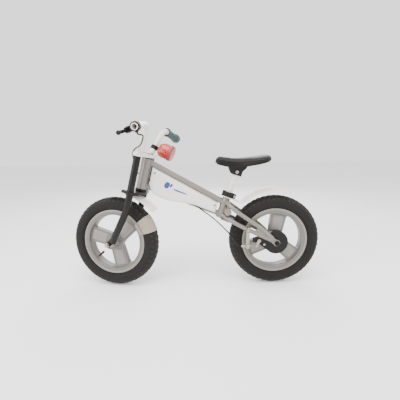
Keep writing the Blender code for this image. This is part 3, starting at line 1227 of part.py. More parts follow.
def make_cable_stop():
    """A strap round the chain stay that holds the adjuster in line with the arm's cable clamp."""
    run = stay_runs()[2]
    pick = min(range(1, len(run) - 1), key=lambda index: abs(run[index].x - STOP_PLACE.x))
    share = (STOP_PLACE.x - run[pick].x) / (run[pick + 1].x - run[pick - 1].x) * 2
    middle = run[pick] + (run[pick + 1] - run[pick - 1]) / 2 * share
    along = run[pick + 1] - run[pick - 1]
    strap_ring = disc(STAY_RADIUS + 0.0030, -0.0045, 0.0045, 18, "Z")
    strap_ring.data.transform(Matrix.Translation(middle) @ aimed(along))
    drop = middle.z - STOP_PLACE.z
    length = drop - STAY_RADIUS - 0.0005
    hanger = moved(box(0.011, 0.0035, length), Vector((STOP_PLACE.x, middle.y, STOP_PLACE.z + length / 2)))
    block = moved(box(0.011, 0.0115, 0.016, 0.001), STOP_PLACE)
    union(strap_ring, hanger, block)
    bore = disc(STAY_RADIUS + CLEARANCE * 2, -0.03, 0.03, 18, "Z")
    bore.data.transform(Matrix.Translation(middle) @ aimed(along))
    across = Matrix.Rotation(math.pi / 2, 4, "Y")
    hole = moved(disc(ADJUSTER_RADIUS + CLEARANCE, -0.02, 0.02, 14, "Z"), STOP_PLACE, across)
    cut(strap_ring, bore, hole)
    node(strap_ring, "cable_stop", zinc)
    barrel = lathe([(0.0010, -ADJUSTER_BACK), (0.0036, -ADJUSTER_BACK), (0.0036, -0.0165), (0.0048, -0.0160),
                    (0.0048, -0.0062), (ADJUSTER_RADIUS, -0.0058), (ADJUSTER_RADIUS, 0.0085),
                    (0.0010, 0.0085)],
                   14, "Z")
    node(moved(barrel, STOP_PLACE, across), "cable_adjuster", zinc)


def make_cable():
    lever_place = PARKED @ bar_end
    end = STOP_PLACE - Vector((ADJUSTER_BACK + CLEARANCE, 0.0, 0.0))
    route = [lever_place @ CABLE_SEAT, lever_place @ (CABLE_SEAT + Vector((0.0, 0.0, -0.0040)))]
    route += cable_route() + [end - Vector((0.0035, 0.0, 0.0)), end]
    path = route[:1] + smooth(route[1:-1], CABLE_SPACING) + route[-1:]
    parting = PARKED @ Vector(ROUTE_AT_FORK[CABLE_PARTING])
    index = min(range(len(path)), key=lambda step: (path[step] - parting).length)
    start = path[index] + (path[index + 1] - path[index]).normalized() * CLEARANCE
    node(tube(path[:index + 1], CABLE_RADIUS, 8), "brake_cable_front", black_plastic)
    node(tube([start] + path[index + 1:], CABLE_RADIUS, 8), "brake_cable", black_plastic)


make_brake()
make_cable_stop()
make_cable()


# Seat: collar on the seat tube, sliding post, clamp and a saddle that tilts on the clamp's bolt
def make_seat_collar():
    turn = Matrix.Translation(SEAT_TUBE_TOP) @ Matrix.Rotation(SEAT_ANGLE, 4, "Y")
    half = COLLAR_HEIGHT / 2
    collar = disc(COLLAR_OUTER_RADIUS, -half, half, 28, "Z")
    ears = box(0.014, COLLAR_EAR_WIDTH, COLLAR_HEIGHT - 0.002, 0.0015)
    union(collar, moved(ears, Vector((COLLAR_OUTER_RADIUS, 0.0, 0.0))))
    ear = COLLAR_OUTER_RADIUS + 0.0020
    cut(
        collar,
        disc(SEAT_TUBE_RADIUS + CLEARANCE, -0.05, CLEARANCE, 24, "Z"),
        disc(POST_RADIUS + CLEARANCE, -0.05, 0.05, 24, "Z"),
        moved(box(0.03, COLLAR_SLOT, 0.05), Vector((COLLAR_OUTER_RADIUS + 0.005, 0.0, 0.0))),
        moved(disc(COLLAR_BOLT_RADIUS + CLEARANCE, -0.05, 0.05, 12), Vector((ear, 0.0, 0.0))),
    )
    collar.data.transform(turn)
    node(collar, "seat_collar", black_plastic)
    outside = COLLAR_EAR_WIDTH / 2 + CLEARANCE
    bolt = rivet(-outside, outside, COLLAR_BOLT_RADIUS, 2 * COLLAR_BOLT_RADIUS, 0.0030)
    bolt.data.transform(turn @ Matrix.Translation(Vector((ear, 0.0, 0.0))))
    node(bolt, "seat_collar_bolt", zinc)


def make_seat():
    foot = -(COLLAR_HEIGHT / 2 + SEAT_POST_EXPOSED + POST_INSERTION)
    node(ring(POST_RADIUS, POST_RADIUS - POST_WALL, foot, -POST_TOP, 24, "Z"), "seat_post", white_metal,
         post_axis)
    clamp = box(CLAMP_LENGTH, CLAMP_WIDTH, CLAMP_HEIGHT, 0.002)
    cut(
        clamp,
        disc(POST_RADIUS + CLEARANCE, -0.05, -POST_TOP + CLEARANCE, 24, "Z"),
        disc(TILT_BOLT_RADIUS + CLEARANCE, -0.05, 0.05, 14),
    )
    node(clamp, "saddle_clamp", black_metal, post_axis)
    outside = CLAMP_WIDTH / 2 + CLEARANCE * 2 + CHEEK_THICKNESS
    bolt = rivet(-outside - CLEARANCE, outside + CLEARANCE, TILT_BOLT_RADIUS, 0.0055, 0.0032)
    node(bolt, "saddle_clamp_bolt", zinc, post_axis)

    inside = CLAMP_WIDTH / 2 + CLEARANCE * 2
    length = SADDLE_NOSE + SADDLE_TAIL
    stations = (
        (0.000, 0.40, 0.00, -0.0165, 0.0030), (0.030, 0.72, 0.00, -0.0030, 0.0170),
        (0.085, 0.95, 0.00, 0.0013, 0.0245), (0.194, 1.05, 0.00, -0.0010, 0.0270),
        (0.333, 1.20, 0.00, -0.0038, 0.0255), (0.472, 0.80, 0.28, -0.0030, 0.0275),
        (0.611, 0.30, 0.65, 0.0000, 0.0265), (0.750, 0.00, 0.93, 0.0025, 0.0245),
        (0.878, 0.00, 1.00, 0.0058, 0.0220), (0.960, 0.00, 0.82, 0.0050, 0.0175),
        (1.000, 0.00, 0.40, -0.0085, 0.0020),
    )
    cover, pan = [], []
    for share, nose, rear, rise, depth in stations:
        x = -SADDLE_NOSE + length * share
        half = nose * SADDLE_NOSE_WIDTH / 2 + rear * SADDLE_REAR_WIDTH / 2
        top = SADDLE_STACK + rise
        low = top - depth
        section = []
        for step in range(11):
            turn = math.pi * step / 10
            lift = math.sin(turn) ** 0.55
            section.append(Vector((x, half * math.cos(turn), low + depth * lift)))
        cover.append(section)
        inset = half - PAN_INSET
        pan.append([Vector((x, y, z)) for y, z in (
            (inset, low - CLEARANCE), (-inset, low - CLEARANCE), (-inset * 0.9, low - CLEARANCE - SADDLE_PAN),
            (inset * 0.9, low - CLEARANCE - SADDLE_PAN))])
    node(loft(cover), "saddle_cover", saddle_skin, saddle_axis)
    base = loft(pan[1:-1])
    for side in (-1, 1):
        near, far = sorted((side * inside, side * (inside + CHEEK_THICKNESS)))
        cheek = [(-0.028, 0.0190), (-0.020, -0.004), (-0.007, -0.0095), (0.007, -0.0095), (0.017, -0.001),
                 (0.030, 0.010), (0.036, 0.0190)]
        union(base, prism(cheek, near, far))
    pocket = moved(box(0.042, inside * 2, 0.030), Vector((-0.009, 0.0, 0.017)))
    cut(base, pocket, disc(TILT_BOLT_RADIUS + CLEARANCE, -0.05, 0.05, 14))
    node(base, "saddle_base", black_plastic, saddle_axis)


make_seat_collar()
make_seat()
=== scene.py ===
"""The looks of a child's balance bike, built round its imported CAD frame."""

import json
import math

import bmesh
import bpy
import numpy as np
from mathutils import Matrix, Vector
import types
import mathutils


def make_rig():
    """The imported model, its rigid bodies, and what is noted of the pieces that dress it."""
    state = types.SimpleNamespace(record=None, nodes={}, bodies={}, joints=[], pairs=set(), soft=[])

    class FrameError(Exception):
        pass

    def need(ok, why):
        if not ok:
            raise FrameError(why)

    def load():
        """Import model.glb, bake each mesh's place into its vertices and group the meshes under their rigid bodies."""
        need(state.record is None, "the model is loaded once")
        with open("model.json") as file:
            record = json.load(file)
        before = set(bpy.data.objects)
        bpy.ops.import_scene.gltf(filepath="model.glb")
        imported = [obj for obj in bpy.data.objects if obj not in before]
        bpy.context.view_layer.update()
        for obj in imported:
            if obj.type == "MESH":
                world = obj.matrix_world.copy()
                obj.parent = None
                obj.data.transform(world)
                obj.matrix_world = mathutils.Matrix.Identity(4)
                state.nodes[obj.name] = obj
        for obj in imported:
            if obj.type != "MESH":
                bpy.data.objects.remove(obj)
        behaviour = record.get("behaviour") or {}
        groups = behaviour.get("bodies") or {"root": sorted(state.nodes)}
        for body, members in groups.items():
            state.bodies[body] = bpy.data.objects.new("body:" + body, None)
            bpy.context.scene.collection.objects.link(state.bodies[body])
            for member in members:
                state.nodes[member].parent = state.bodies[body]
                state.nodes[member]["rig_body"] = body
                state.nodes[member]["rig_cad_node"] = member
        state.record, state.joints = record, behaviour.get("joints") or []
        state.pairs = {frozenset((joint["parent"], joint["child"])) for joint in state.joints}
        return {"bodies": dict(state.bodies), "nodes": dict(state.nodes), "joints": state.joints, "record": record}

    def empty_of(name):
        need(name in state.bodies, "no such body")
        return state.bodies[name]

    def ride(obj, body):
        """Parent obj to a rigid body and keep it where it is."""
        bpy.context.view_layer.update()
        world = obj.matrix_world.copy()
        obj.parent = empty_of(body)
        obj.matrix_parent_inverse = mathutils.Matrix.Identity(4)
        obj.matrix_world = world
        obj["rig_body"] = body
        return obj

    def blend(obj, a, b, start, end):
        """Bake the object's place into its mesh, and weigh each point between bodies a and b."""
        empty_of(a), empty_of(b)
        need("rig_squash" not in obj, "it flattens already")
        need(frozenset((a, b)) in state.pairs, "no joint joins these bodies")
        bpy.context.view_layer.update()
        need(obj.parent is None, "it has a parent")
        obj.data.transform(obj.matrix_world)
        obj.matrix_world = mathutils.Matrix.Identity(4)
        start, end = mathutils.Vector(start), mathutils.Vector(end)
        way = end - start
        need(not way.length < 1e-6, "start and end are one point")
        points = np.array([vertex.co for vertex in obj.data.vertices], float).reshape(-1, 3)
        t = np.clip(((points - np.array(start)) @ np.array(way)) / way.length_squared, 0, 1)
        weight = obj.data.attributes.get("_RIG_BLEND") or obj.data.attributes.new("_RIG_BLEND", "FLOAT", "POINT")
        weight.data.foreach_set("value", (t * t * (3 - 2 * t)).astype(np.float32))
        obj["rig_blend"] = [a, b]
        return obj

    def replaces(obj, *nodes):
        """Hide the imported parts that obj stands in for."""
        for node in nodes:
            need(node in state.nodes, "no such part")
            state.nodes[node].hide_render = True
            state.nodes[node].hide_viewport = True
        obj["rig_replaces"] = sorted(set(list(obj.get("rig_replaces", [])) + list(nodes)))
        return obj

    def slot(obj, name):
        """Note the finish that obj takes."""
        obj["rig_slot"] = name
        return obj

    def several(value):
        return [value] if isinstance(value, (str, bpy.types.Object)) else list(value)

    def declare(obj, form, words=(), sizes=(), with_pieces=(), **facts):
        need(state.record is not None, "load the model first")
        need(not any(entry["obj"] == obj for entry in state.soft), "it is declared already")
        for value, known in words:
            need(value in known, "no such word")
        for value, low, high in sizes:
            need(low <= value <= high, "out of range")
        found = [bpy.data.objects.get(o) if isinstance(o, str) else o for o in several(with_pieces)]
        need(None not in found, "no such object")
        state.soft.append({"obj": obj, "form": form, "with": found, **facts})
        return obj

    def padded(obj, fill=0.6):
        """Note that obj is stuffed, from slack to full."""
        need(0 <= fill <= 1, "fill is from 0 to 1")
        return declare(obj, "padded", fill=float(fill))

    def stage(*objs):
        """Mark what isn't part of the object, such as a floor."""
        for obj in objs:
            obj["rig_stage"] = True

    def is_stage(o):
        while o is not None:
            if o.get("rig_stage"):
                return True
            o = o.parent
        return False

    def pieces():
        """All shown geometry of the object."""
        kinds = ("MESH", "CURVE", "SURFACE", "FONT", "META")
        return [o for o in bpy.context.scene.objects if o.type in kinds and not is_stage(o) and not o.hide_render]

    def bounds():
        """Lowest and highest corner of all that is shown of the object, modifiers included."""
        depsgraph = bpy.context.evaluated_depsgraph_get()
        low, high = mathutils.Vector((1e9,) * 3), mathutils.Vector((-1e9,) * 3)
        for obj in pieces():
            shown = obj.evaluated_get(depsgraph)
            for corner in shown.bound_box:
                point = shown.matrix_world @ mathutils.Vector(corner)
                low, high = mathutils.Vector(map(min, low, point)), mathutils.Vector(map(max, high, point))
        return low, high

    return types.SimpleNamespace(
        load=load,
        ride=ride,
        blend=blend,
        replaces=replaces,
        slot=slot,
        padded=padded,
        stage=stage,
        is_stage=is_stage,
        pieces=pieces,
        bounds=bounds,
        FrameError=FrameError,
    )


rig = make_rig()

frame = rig.load()
cad_box = [list(corner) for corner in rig.bounds()]

# The studio: a pale seamless floor under the tyres, a large soft lamp above and in front, a weaker one on
# each side, and a camera low on the rider's left, looking a little down.
FLOOR_HEIGHT = cad_box[0][2] - 0.0006
CAMERA_PLACE = (-0.2621, -0.9306, 0.4685)
CAMERA_YAW = math.radians(0.52)
CAMERA_PITCH = math.radians(10.47)
CAMERA_ROLL = math.radians(0.88)
CAMERA_LENS = 25.0


def aim_camera(yaw, pitch, roll):
    """A turn that looks along the yaw from +Y and down by the pitch, then rolls about that line."""
    ahead = Vector((math.sin(yaw) * math.cos(pitch), math.cos(yaw) * math.cos(pitch), -math.sin(pitch)))
    right = Vector((math.cos(yaw), -math.sin(yaw), 0.0))
    down = ahead.cross(right)
    rolled_right = right * math.cos(roll) + down * math.sin(roll)
    rolled_down = down * math.cos(roll) - right * math.sin(roll)
    return Matrix((rolled_right, -rolled_down, -ahead)).transposed().to_4x4()


camera_data = bpy.data.cameras.new("camera")
camera_data.sensor_width = 36.0
camera_data.lens = CAMERA_LENS
camera_data.clip_start = 0.01
camera = bpy.data.objects.new("camera", camera_data)
bpy.context.scene.collection.objects.link(camera)
camera.matrix_world = Matrix.Translation(CAMERA_PLACE) @ aim_camera(CAMERA_YAW, CAMERA_PITCH, CAMERA_ROLL)
bpy.context.scene.camera = camera


def soft_lamp(name, place, target, size, power):
    """A square lamp at a place, turned to face the target."""
    lamp = bpy.data.lights.new(name, "AREA")
    lamp.shape = "SQUARE"
    lamp.size = size
    lamp.energy = power
    made = bpy.data.objects.new(name, lamp)
    bpy.context.scene.collection.objects.link(made)
    made.location = place
    made.rotation_euler = (Vector(target) - Vector(place)).to_track_quat("-Z", "Y").to_euler()
    return made


LAMP_TARGET = (-0.28, 0.0, 0.25)
soft_lamp("lamp_above", (-0.5, -0.7, 2.1), (-0.28, 0.0, 0.2), 1.8, 62.0)
soft_lamp("lamp_left", (-2.0, -1.2, 0.9), LAMP_TARGET, 1.2, 26.0)
soft_lamp("lamp_right", (1.5, -1.0, 1.1), LAMP_TARGET, 1.2, 18.0)
soft_lamp("lamp_behind", (-0.2, 1.9, 1.3), LAMP_TARGET, 1.4, 26.0)
world = bpy.data.worlds.new("studio")
bpy.context.scene.world = world
world.use_nodes = True
world.node_tree.nodes["Background"].inputs["Color"].default_value = (1.0, 1.0, 1.0, 1.0)
world.node_tree.nodes["Background"].inputs["Strength"].default_value = 1.7

floor_mesh = bpy.data.meshes.new("floor")
floor_mesh.from_pydata(
    [(-8.0, -8.0, FLOOR_HEIGHT), (8.0, -8.0, FLOOR_HEIGHT), (8.0, 8.0, FLOOR_HEIGHT),
     (-8.0, 8.0, FLOOR_HEIGHT)],
    [], [(0, 1, 2, 3)])
floor = bpy.data.objects.new("floor", floor_mesh)
bpy.context.scene.collection.objects.link(floor)
floor_finish = bpy.data.materials.new("floor_finish")
floor_finish.use_nodes = True
floor_shader = floor_finish.node_tree.nodes["Principled BSDF"]
floor_shader.inputs["Base Color"].default_value = (0.93, 0.93, 0.925, 1.0)
floor_shader.inputs["Roughness"].default_value = 0.9
floor_mesh.materials.append(floor_finish)
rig.stage(floor)

# The frame: steel tubes welded at the head, the seat tube and the dropouts, sprayed in satin silver. The
# paint is a little dull, with small dark chips and a bead of weld where each pair of tubes meets.


def tone(red, green, blue):
    """A screen colour of 0 to 255 as linear light, by the display curve turned back."""
    parts = np.array([red, green, blue]) / 255.0
    return tuple(np.where(parts <= 0.04045, parts / 12.92, ((parts + 0.055) / 1.055) ** 2.4))


def add_node(tree, kind, **settings):
    made = tree.nodes.new(kind)
    for key, value in settings.items():
        setattr(made, key, value)
    return made


def grain_group():
    """Three patterns at one point: broad clouds, fine grain, and scattered specks, each from 0 to 1."""
    group = bpy.data.node_groups.new("paint_grain", "ShaderNodeTree")
    group.interface.new_socket("Vector", in_out="INPUT", socket_type="NodeSocketVector")
    for label in ("Broad Scale", "Fine Scale", "Speck Scale", "Speck Size"):
        group.interface.new_socket(label, in_out="INPUT", socket_type="NodeSocketFloat")
    for label in ("Broad", "Fine", "Specks"):
        group.interface.new_socket(label, in_out="OUTPUT", socket_type="NodeSocketFloat")
    entry, leave = add_node(group, "NodeGroupInput"), add_node(group, "NodeGroupOutput")
    broad, fine = add_node(group, "ShaderNodeTexNoise"), add_node(group, "ShaderNodeTexNoise")
    broad.inputs["Detail"].default_value = 3.0
    fine.inputs["Detail"].default_value = 4.0
    cells = add_node(group, "ShaderNodeTexVoronoi")
    edge = add_node(group, "ShaderNodeMapRange")
    edge.inputs["To Min"].default_value = 1.0
    edge.inputs["To Max"].default_value = 0.0
    patch = add_node(group, "ShaderNodeMapRange")
    patch.inputs["From Min"].default_value = 0.52
    patch.inputs["From Max"].default_value = 0.62
    both = add_node(group, "ShaderNodeMath", operation="MULTIPLY")
    for target in (broad, fine, cells):
        group.links.new(entry.outputs["Vector"], target.inputs["Vector"])
    group.links.new(entry.outputs["Broad Scale"], broad.inputs["Scale"])
    group.links.new(entry.outputs["Fine Scale"], fine.inputs["Scale"])
    group.links.new(entry.outputs["Speck Scale"], cells.inputs["Scale"])
    group.links.new(cells.outputs["Distance"], edge.inputs["Value"])
    group.links.new(entry.outputs["Speck Size"], edge.inputs["From Max"])
    group.links.new(broad.outputs["Fac"], patch.inputs["Value"])
    group.links.new(edge.outputs["Result"], both.inputs[0])
    group.links.new(patch.outputs["Result"], both.inputs[1])
    group.links.new(broad.outputs["Fac"], leave.inputs["Broad"])
    group.links.new(fine.outputs["Fac"], leave.inputs["Fine"])
    group.links.new(both.outputs["Value"], leave.inputs["Specks"])
    return group


GRAIN = grain_group()


def finish(name, colour, shade, speck, rough, metal=0.0, coat=0.0, broad=9.0, fine=520.0, specks=70.0,
           speck_size=0.12, bump=0.06, rough_spread=0.12, stretch=(1.0, 1.0, 1.0), sheen=0.0, shine=0.5):
    """A finish in two close tones with worn specks; grain sets its roughness and its bump."""
    made = bpy.data.materials.new(name)
    made.use_nodes = True
    tree = made.node_tree
    shader = tree.nodes["Principled BSDF"]
    shader.inputs["Metallic"].default_value = metal
    shader.inputs["Coat Weight"].default_value = coat
    shader.inputs["Specular IOR Level"].default_value = shine
    shader.inputs["Coat Roughness"].default_value = 0.18
    shader.inputs["Sheen Weight"].default_value = sheen
    where = add_node(tree, "ShaderNodeTexCoord")
    turn = add_node(tree, "ShaderNodeMapping")
    turn.inputs["Scale"].default_value = stretch
    grain = add_node(tree, "ShaderNodeGroup", node_tree=GRAIN)
    grain.inputs["Broad Scale"].default_value = broad
    grain.inputs["Fine Scale"].default_value = fine
    grain.inputs["Speck Scale"].default_value = specks
    grain.inputs["Speck Size"].default_value = speck_size
    tones = add_node(tree, "ShaderNodeMix", data_type="RGBA", label="tones")
    tones.inputs["A"].default_value = (*colour, 1.0)
    tones.inputs["B"].default_value = (*shade, 1.0)
    worn = add_node(tree, "ShaderNodeMix", data_type="RGBA", label="worn")
    worn.inputs["B"].default_value = (*speck, 1.0)
    gloss = add_node(tree, "ShaderNodeMapRange")
    gloss.inputs["To Min"].default_value = max(0.02, rough - rough_spread / 2)
    gloss.inputs["To Max"].default_value = rough + rough_spread / 2
    height = add_node(tree, "ShaderNodeBump")
    height.inputs["Strength"].default_value = bump
    height.inputs["Distance"].default_value = 0.0006
    tree.links.new(where.outputs["Object"], turn.inputs["Vector"])
    tree.links.new(turn.outputs["Vector"], grain.inputs["Vector"])
    tree.links.new(grain.outputs["Broad"], tones.inputs["Factor"])
    tree.links.new(tones.outputs["Result"], worn.inputs["A"])
    tree.links.new(grain.outputs["Specks"], worn.inputs["Factor"])
    tree.links.new(worn.outputs["Result"], shader.inputs["Base Color"])
    tree.links.new(grain.outputs["Fine"], gloss.inputs["Value"])
    tree.links.new(gloss.outputs["Result"], shader.inputs["Roughness"])
    tree.links.new(grain.outputs["Fine"], height.inputs["Height"])
    tree.links.new(height.outputs["Normal"], shader.inputs["Normal"])
    return made


def softened(node, slot, material, width=0.0005, segments=2):
    """A CAD piece with its triangles merged, its flat faces made whole and its edges rounded off."""
    source = frame["nodes"][node]
    bm = bmesh.new()
    bm.from_mesh(source.data)
    bmesh.ops.remove_doubles(bm, verts=bm.verts, dist=2e-6)
    bmesh.ops.dissolve_limit(
        bm, angle_limit=math.radians(0.6), use_dissolve_boundaries=False, verts=bm.verts, edges=bm.edges,
        delimit={"NORMAL"})
    bmesh.ops.triangulate(bm, faces=[face for face in bm.faces if len(face.verts) > 4])
    mesh = bpy.data.meshes.new(node + "_shape")
    bm.to_mesh(mesh)
    bm.free()
    for layer in list(mesh.uv_layers):
        mesh.uv_layers.remove(layer)
    mesh.materials.clear()
    mesh.materials.append(material)
    mesh.shade_smooth()
    mesh.set_sharp_from_angle(angle=math.radians(38.0))
    made = bpy.data.objects.new(node + "_shape", mesh)
    bpy.context.scene.collection.objects.link(made)
    if width:
        edge = made.modifiers.new("rounded_edges", "BEVEL")
        edge.width = width
        edge.segments = segments
        edge.limit_method = "ANGLE"
        edge.angle_limit = math.radians(38.0)
        edge.harden_normals = False
    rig.ride(made, source["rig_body"])
    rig.slot(made, slot)
    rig.replaces(made, node)
    return made


SILVER = tone(124, 116, 108)
silver_paint = finish("silver_paint", SILVER, tone(108, 101, 94), tone(62, 57, 52), 0.42, metal=0.35,
                      coat=0.25,
                      broad=14.0, fine=900.0, specks=55.0, speck_size=0.07, bump=0.05)
softened("frame", "silver_paint", silver_paint, 0.0006)


def grid_faces(rows, columns, around_rows=False, around_columns=False):
    """The quads of a grid of points, row by row, joined round where it closes on itself."""
    row = np.arange(rows if around_rows else rows - 1)[:, None]
    column = np.arange(columns if around_columns else columns - 1)[None, :]
    next_row, next_column = (row + 1) % rows, (column + 1) % columns
    corners = (row * columns + column, row * columns + next_column,
               next_row * columns + next_column, next_row * columns + column)
    return np.stack(np.broadcast_arrays(*corners), -1).reshape(-1, 4)


def make_piece(name, body, slot, material, points, faces, sharp=38.0, attributes=()):
    """A finished mesh piece: doubles merged, faces turned outwards, smooth but for its sharp edges."""
    mesh = bpy.data.meshes.new(name)
    mesh.from_pydata(np.asarray(points, float).reshape(-1, 3).tolist(), [], np.asarray(faces).tolist())
    for label, values in dict(attributes).items():
        layer = mesh.attributes.new(label, "FLOAT", "POINT")
        layer.data.foreach_set("value", np.asarray(values, np.float32).ravel())
    bm = bmesh.new()
    bm.from_mesh(mesh)
    bmesh.ops.remove_doubles(bm, verts=bm.verts, dist=1e-6)
    bmesh.ops.recalc_face_normals(bm, faces=bm.faces)
    bm.to_mesh(mesh)
    bm.free()
    mesh.shade_smooth()
    mesh.set_sharp_from_angle(angle=math.radians(sharp))
    mesh.materials.append(material)
    made = bpy.data.objects.new(name, mesh)
    bpy.context.scene.collection.objects.link(made)
    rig.ride(made, body)
    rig.slot(made, slot)
    return made


def weld_bead(name, centre, axis, radius, along, other_radius):
    """A rippled bead where a tube of other_radius meets one of radius: the two cylinders' crossing curve."""
    turn = np.linspace(0.0, math.tau, 96, endpoint=False)
    axis = np.asarray(axis, float) / np.linalg.norm(axis)
    along = np.asarray(along, float) - np.dot(along, axis) * axis
    along /= np.linalg.norm(along)
    across = np.cross(axis, along)
    wide = other_radius * np.cos(turn)
    tall = other_radius * np.sin(turn)
    out = np.sqrt(np.maximum(radius**2 - wide**2, 0.0))
    ripple = 1.0 + 0.22 * np.sin(turn * 22.0)
    line = np.asarray(centre) + out[:, None] * along + wide[:, None] * across + tall[:, None] * axis
    outward = np.cos(turn)[:, None] * across + np.sin(turn)[:, None] * axis
    small = np.linspace(0.0, math.tau, 8, endpoint=False)[None, :, None]
    rings = line[:, None, :] + 0.0016 * ripple[:, None, None] * (
        np.cos(small) * outward[:, None, :] + np.sin(small) * along[None, None, :])
    return make_piece(name, "frame", "silver_paint", silver_paint, rings, grid_faces(96, 8, True, True))


JOINTS = {joint["name"]: joint for joint in frame["joints"]}
STEER_PLACE = np.array(JOINTS["steering"]["pos_m"])
HEAD_ANGLE = math.radians(14.3)
SEAT_ANGLE = math.radians(20.5)
HEAD_UP = np.array([math.sin(HEAD_ANGLE), 0.0, math.cos(HEAD_ANGLE)])
SEAT_UP = np.array([math.sin(SEAT_ANGLE), 0.0, math.cos(SEAT_ANGLE)])
SEAT_TOP = np.array([-0.1583, 0.0, 0.3157])
TOP_TUBE_HEAD = STEER_PLACE + HEAD_UP * 0.094
TOP_TUBE_SEAT = SEAT_TOP - SEAT_UP * 0.032
DOWN_TUBE_HEAD = STEER_PLACE + HEAD_UP * 0.013
DOWN_TUBE_SEAT = SEAT_TOP - SEAT_UP * 0.073
top_way = TOP_TUBE_SEAT - TOP_TUBE_HEAD
weld_bead("weld_top_tube_head", TOP_TUBE_HEAD, HEAD_UP, 0.018, top_way, 0.0102)
weld_bead("weld_down_tube_head", DOWN_TUBE_HEAD, HEAD_UP, 0.018, DOWN_TUBE_SEAT - DOWN_TUBE_HEAD, 0.0092)
weld_bead("weld_top_tube_seat", TOP_TUBE_SEAT, SEAT_UP, 0.0132, -top_way, 0.0102)

# Black painted steel: the headset cups, the fork's legs, its lower crown, the brake's housing and the seat
# clamp. The paint is semi-gloss, with grey rubs where the parts have been knocked.
INK = tone(14, 12, 10)
black_paint = finish("black_paint", INK, tone(23, 22, 21), tone(60, 57, 53), 0.34, coat=0.06, broad=18.0,
                     fine=800.0, specks=95.0, speck_size=0.10, bump=0.08, shine=0.16)
for part in ("headset_cup_lower", "headset_cup_upper", "fork_leg_left", "fork_leg_right", "lower_crown",
             "brake_drum", "brake_housing", "saddle_clamp", "rear_axle_nut_left"):
    softened(part, "black_paint", black_paint, 0.0007 if part in ("lower_crown", "saddle_clamp") else 0.0004)

# Zinc-plated steel: axles, nuts, bearings, screws, pins, the brake's arm and band, the cable stop and its
# barrel. The plating is bright and slightly yellow, with fine turning marks and a few dull spots.
ZINC = tone(164, 156, 143)
zinc_plate = finish("zinc_plate", ZINC, tone(150, 142, 130), tone(110, 88, 64), 0.30, metal=0.92, broad=60.0,
                    fine=1400.0, specks=160.0, speck_size=0.14, bump=0.05, stretch=(1.0, 3.0, 1.0))
for part in ("panel_screw_left_front", "panel_screw_left_rear", "panel_screw_right_front",
             "panel_screw_right_rear",
             "front_mudguard_bolt", "front_bearing_left", "front_bearing_right", "rear_bearing_left",
             "rear_bearing_right", "front_axle", "rear_axle", "front_axle_nut_left", "front_axle_nut_right",
             "rear_axle_nut_right", "steerer", "brake_lever_pin", "brake_band", "brake_band_pin", "brake_arm",
             "cable_clamp", "cable_stop", "cable_adjuster", "seat_collar_bolt", "saddle_clamp_bolt"):
    softened(part, "zinc_steel", zinc_plate, 0.0003)

# Axle nut caps: low round domes of pressed steel, bright at the front and black at the rear's left side.
# Each stands just clear of the nut it covers. Steered pieces are shaped in the steering frame: X runs back,
# Y to the rider's right, Z up the head tube.
STEER_UP = np.array(JOINTS["steering"]["axis"])
STEER_RIGHT = np.array(JOINTS["front_wheel_spin"]["axis"])
STEER_AXES = np.array([np.cross(STEER_RIGHT, STEER_UP), STEER_RIGHT, STEER_UP])
FRONT_CENTRE = np.array(JOINTS["front_wheel_spin"]["pos_m"])
REAR_CENTRE = np.array(JOINTS["rear_wheel_spin"]["pos_m"])
WHEEL_AXES = {"front": STEER_RIGHT, "rear": np.array([0.0, 1.0, 0.0])}


def ways_round(axis, turn):
    """Directions square to an axis, one for each turn round it."""
    side = np.cross(axis, [0.0, 0.0, 1.0] if abs(axis[2]) < 0.9 else [1.0, 0.0, 0.0])
    side /= np.linalg.norm(side)
    return np.cos(turn)[..., None] * side + np.sin(turn)[..., None] * np.cross(axis, side)


def turned(profile, steps, centre, axis, closed=False):
    """A turned shape: each (radius, height) of the profile swept round the axis, poles on it."""
    profile = np.asarray(profile, float)
    axis = np.asarray(axis, float) / np.linalg.norm(axis)
    ring = ways_round(axis, np.linspace(0.0, math.tau, steps, endpoint=False)[:, None])
    points = np.asarray(centre) + ring * profile[None, :, :1] + axis * profile[None, :, 1:]
    return points.reshape(-1, 3), grid_faces(steps, len(profile), True, closed)


def nut_dome(name, body, centre, axis, reach, slot, material):
    """A low dome over the axle's end: a quarter circle turned round the axle."""
    lift = np.linspace(0.0, math.pi / 2, 9)
    profile = [(0.0, reach - 0.0030), (0.0052, reach - 0.0030)]
    profile += [(0.0056 * math.cos(a), reach + 0.0031 * math.sin(a)) for a in lift]
    points, faces = turned(profile, 28, centre, axis)
    return make_piece(name, body, slot, material, points, faces)


nut_dome("front_axle_cap_left", "fork", FRONT_CENTRE, -STEER_RIGHT, 0.0700, "zinc_steel", zinc_plate)
nut_dome("front_axle_cap_right", "fork", FRONT_CENTRE, STEER_RIGHT, 0.0700, "zinc_steel", zinc_plate)
nut_dome("rear_axle_cap_left", "frame", REAR_CENTRE, (0.0, -1.0, 0.0), 0.0625, "black_paint", black_paint)
nut_dome("rear_axle_cap_right", "frame", REAR_CENTRE, (0.0, 1.0, 0.0), 0.0625, "zinc_steel", zinc_plate)

# White painted steel: the handlebar's two bent pipes, the upper crown and the seat post. The pipes are open
# at their ends; the left one has lost its grip, so its mouth shows.
WHITE_PAINT = tone(226, 220, 214)
white_paint = finish("white_paint", WHITE_PAINT, tone(206, 199, 191), tone(120, 112, 104), 0.32, coat=0.5,
                     broad=16.0,
                     fine=900.0, specks=62.0, speck_size=0.08, bump=0.04)
softened("upper_crown", "white_paint", white_paint, 0.0009)
softened("seat_post", "white_paint", white_paint, 0.0004)
BAR_RADIUS = 0.0095
BAR_BORE = 0.0073
BAR_BASE, BAR_CORNER, BAR_END = (-0.008, 0.0445, 0.1143), (0.006, 0.076, 0.206), (0.023, 0.187, 0.188)


def on_steering(points):
    """Points of the steering frame, turned and moved into the row frame."""
    return np.asarray(points, float) @ STEER_AXES + STEER_PLACE


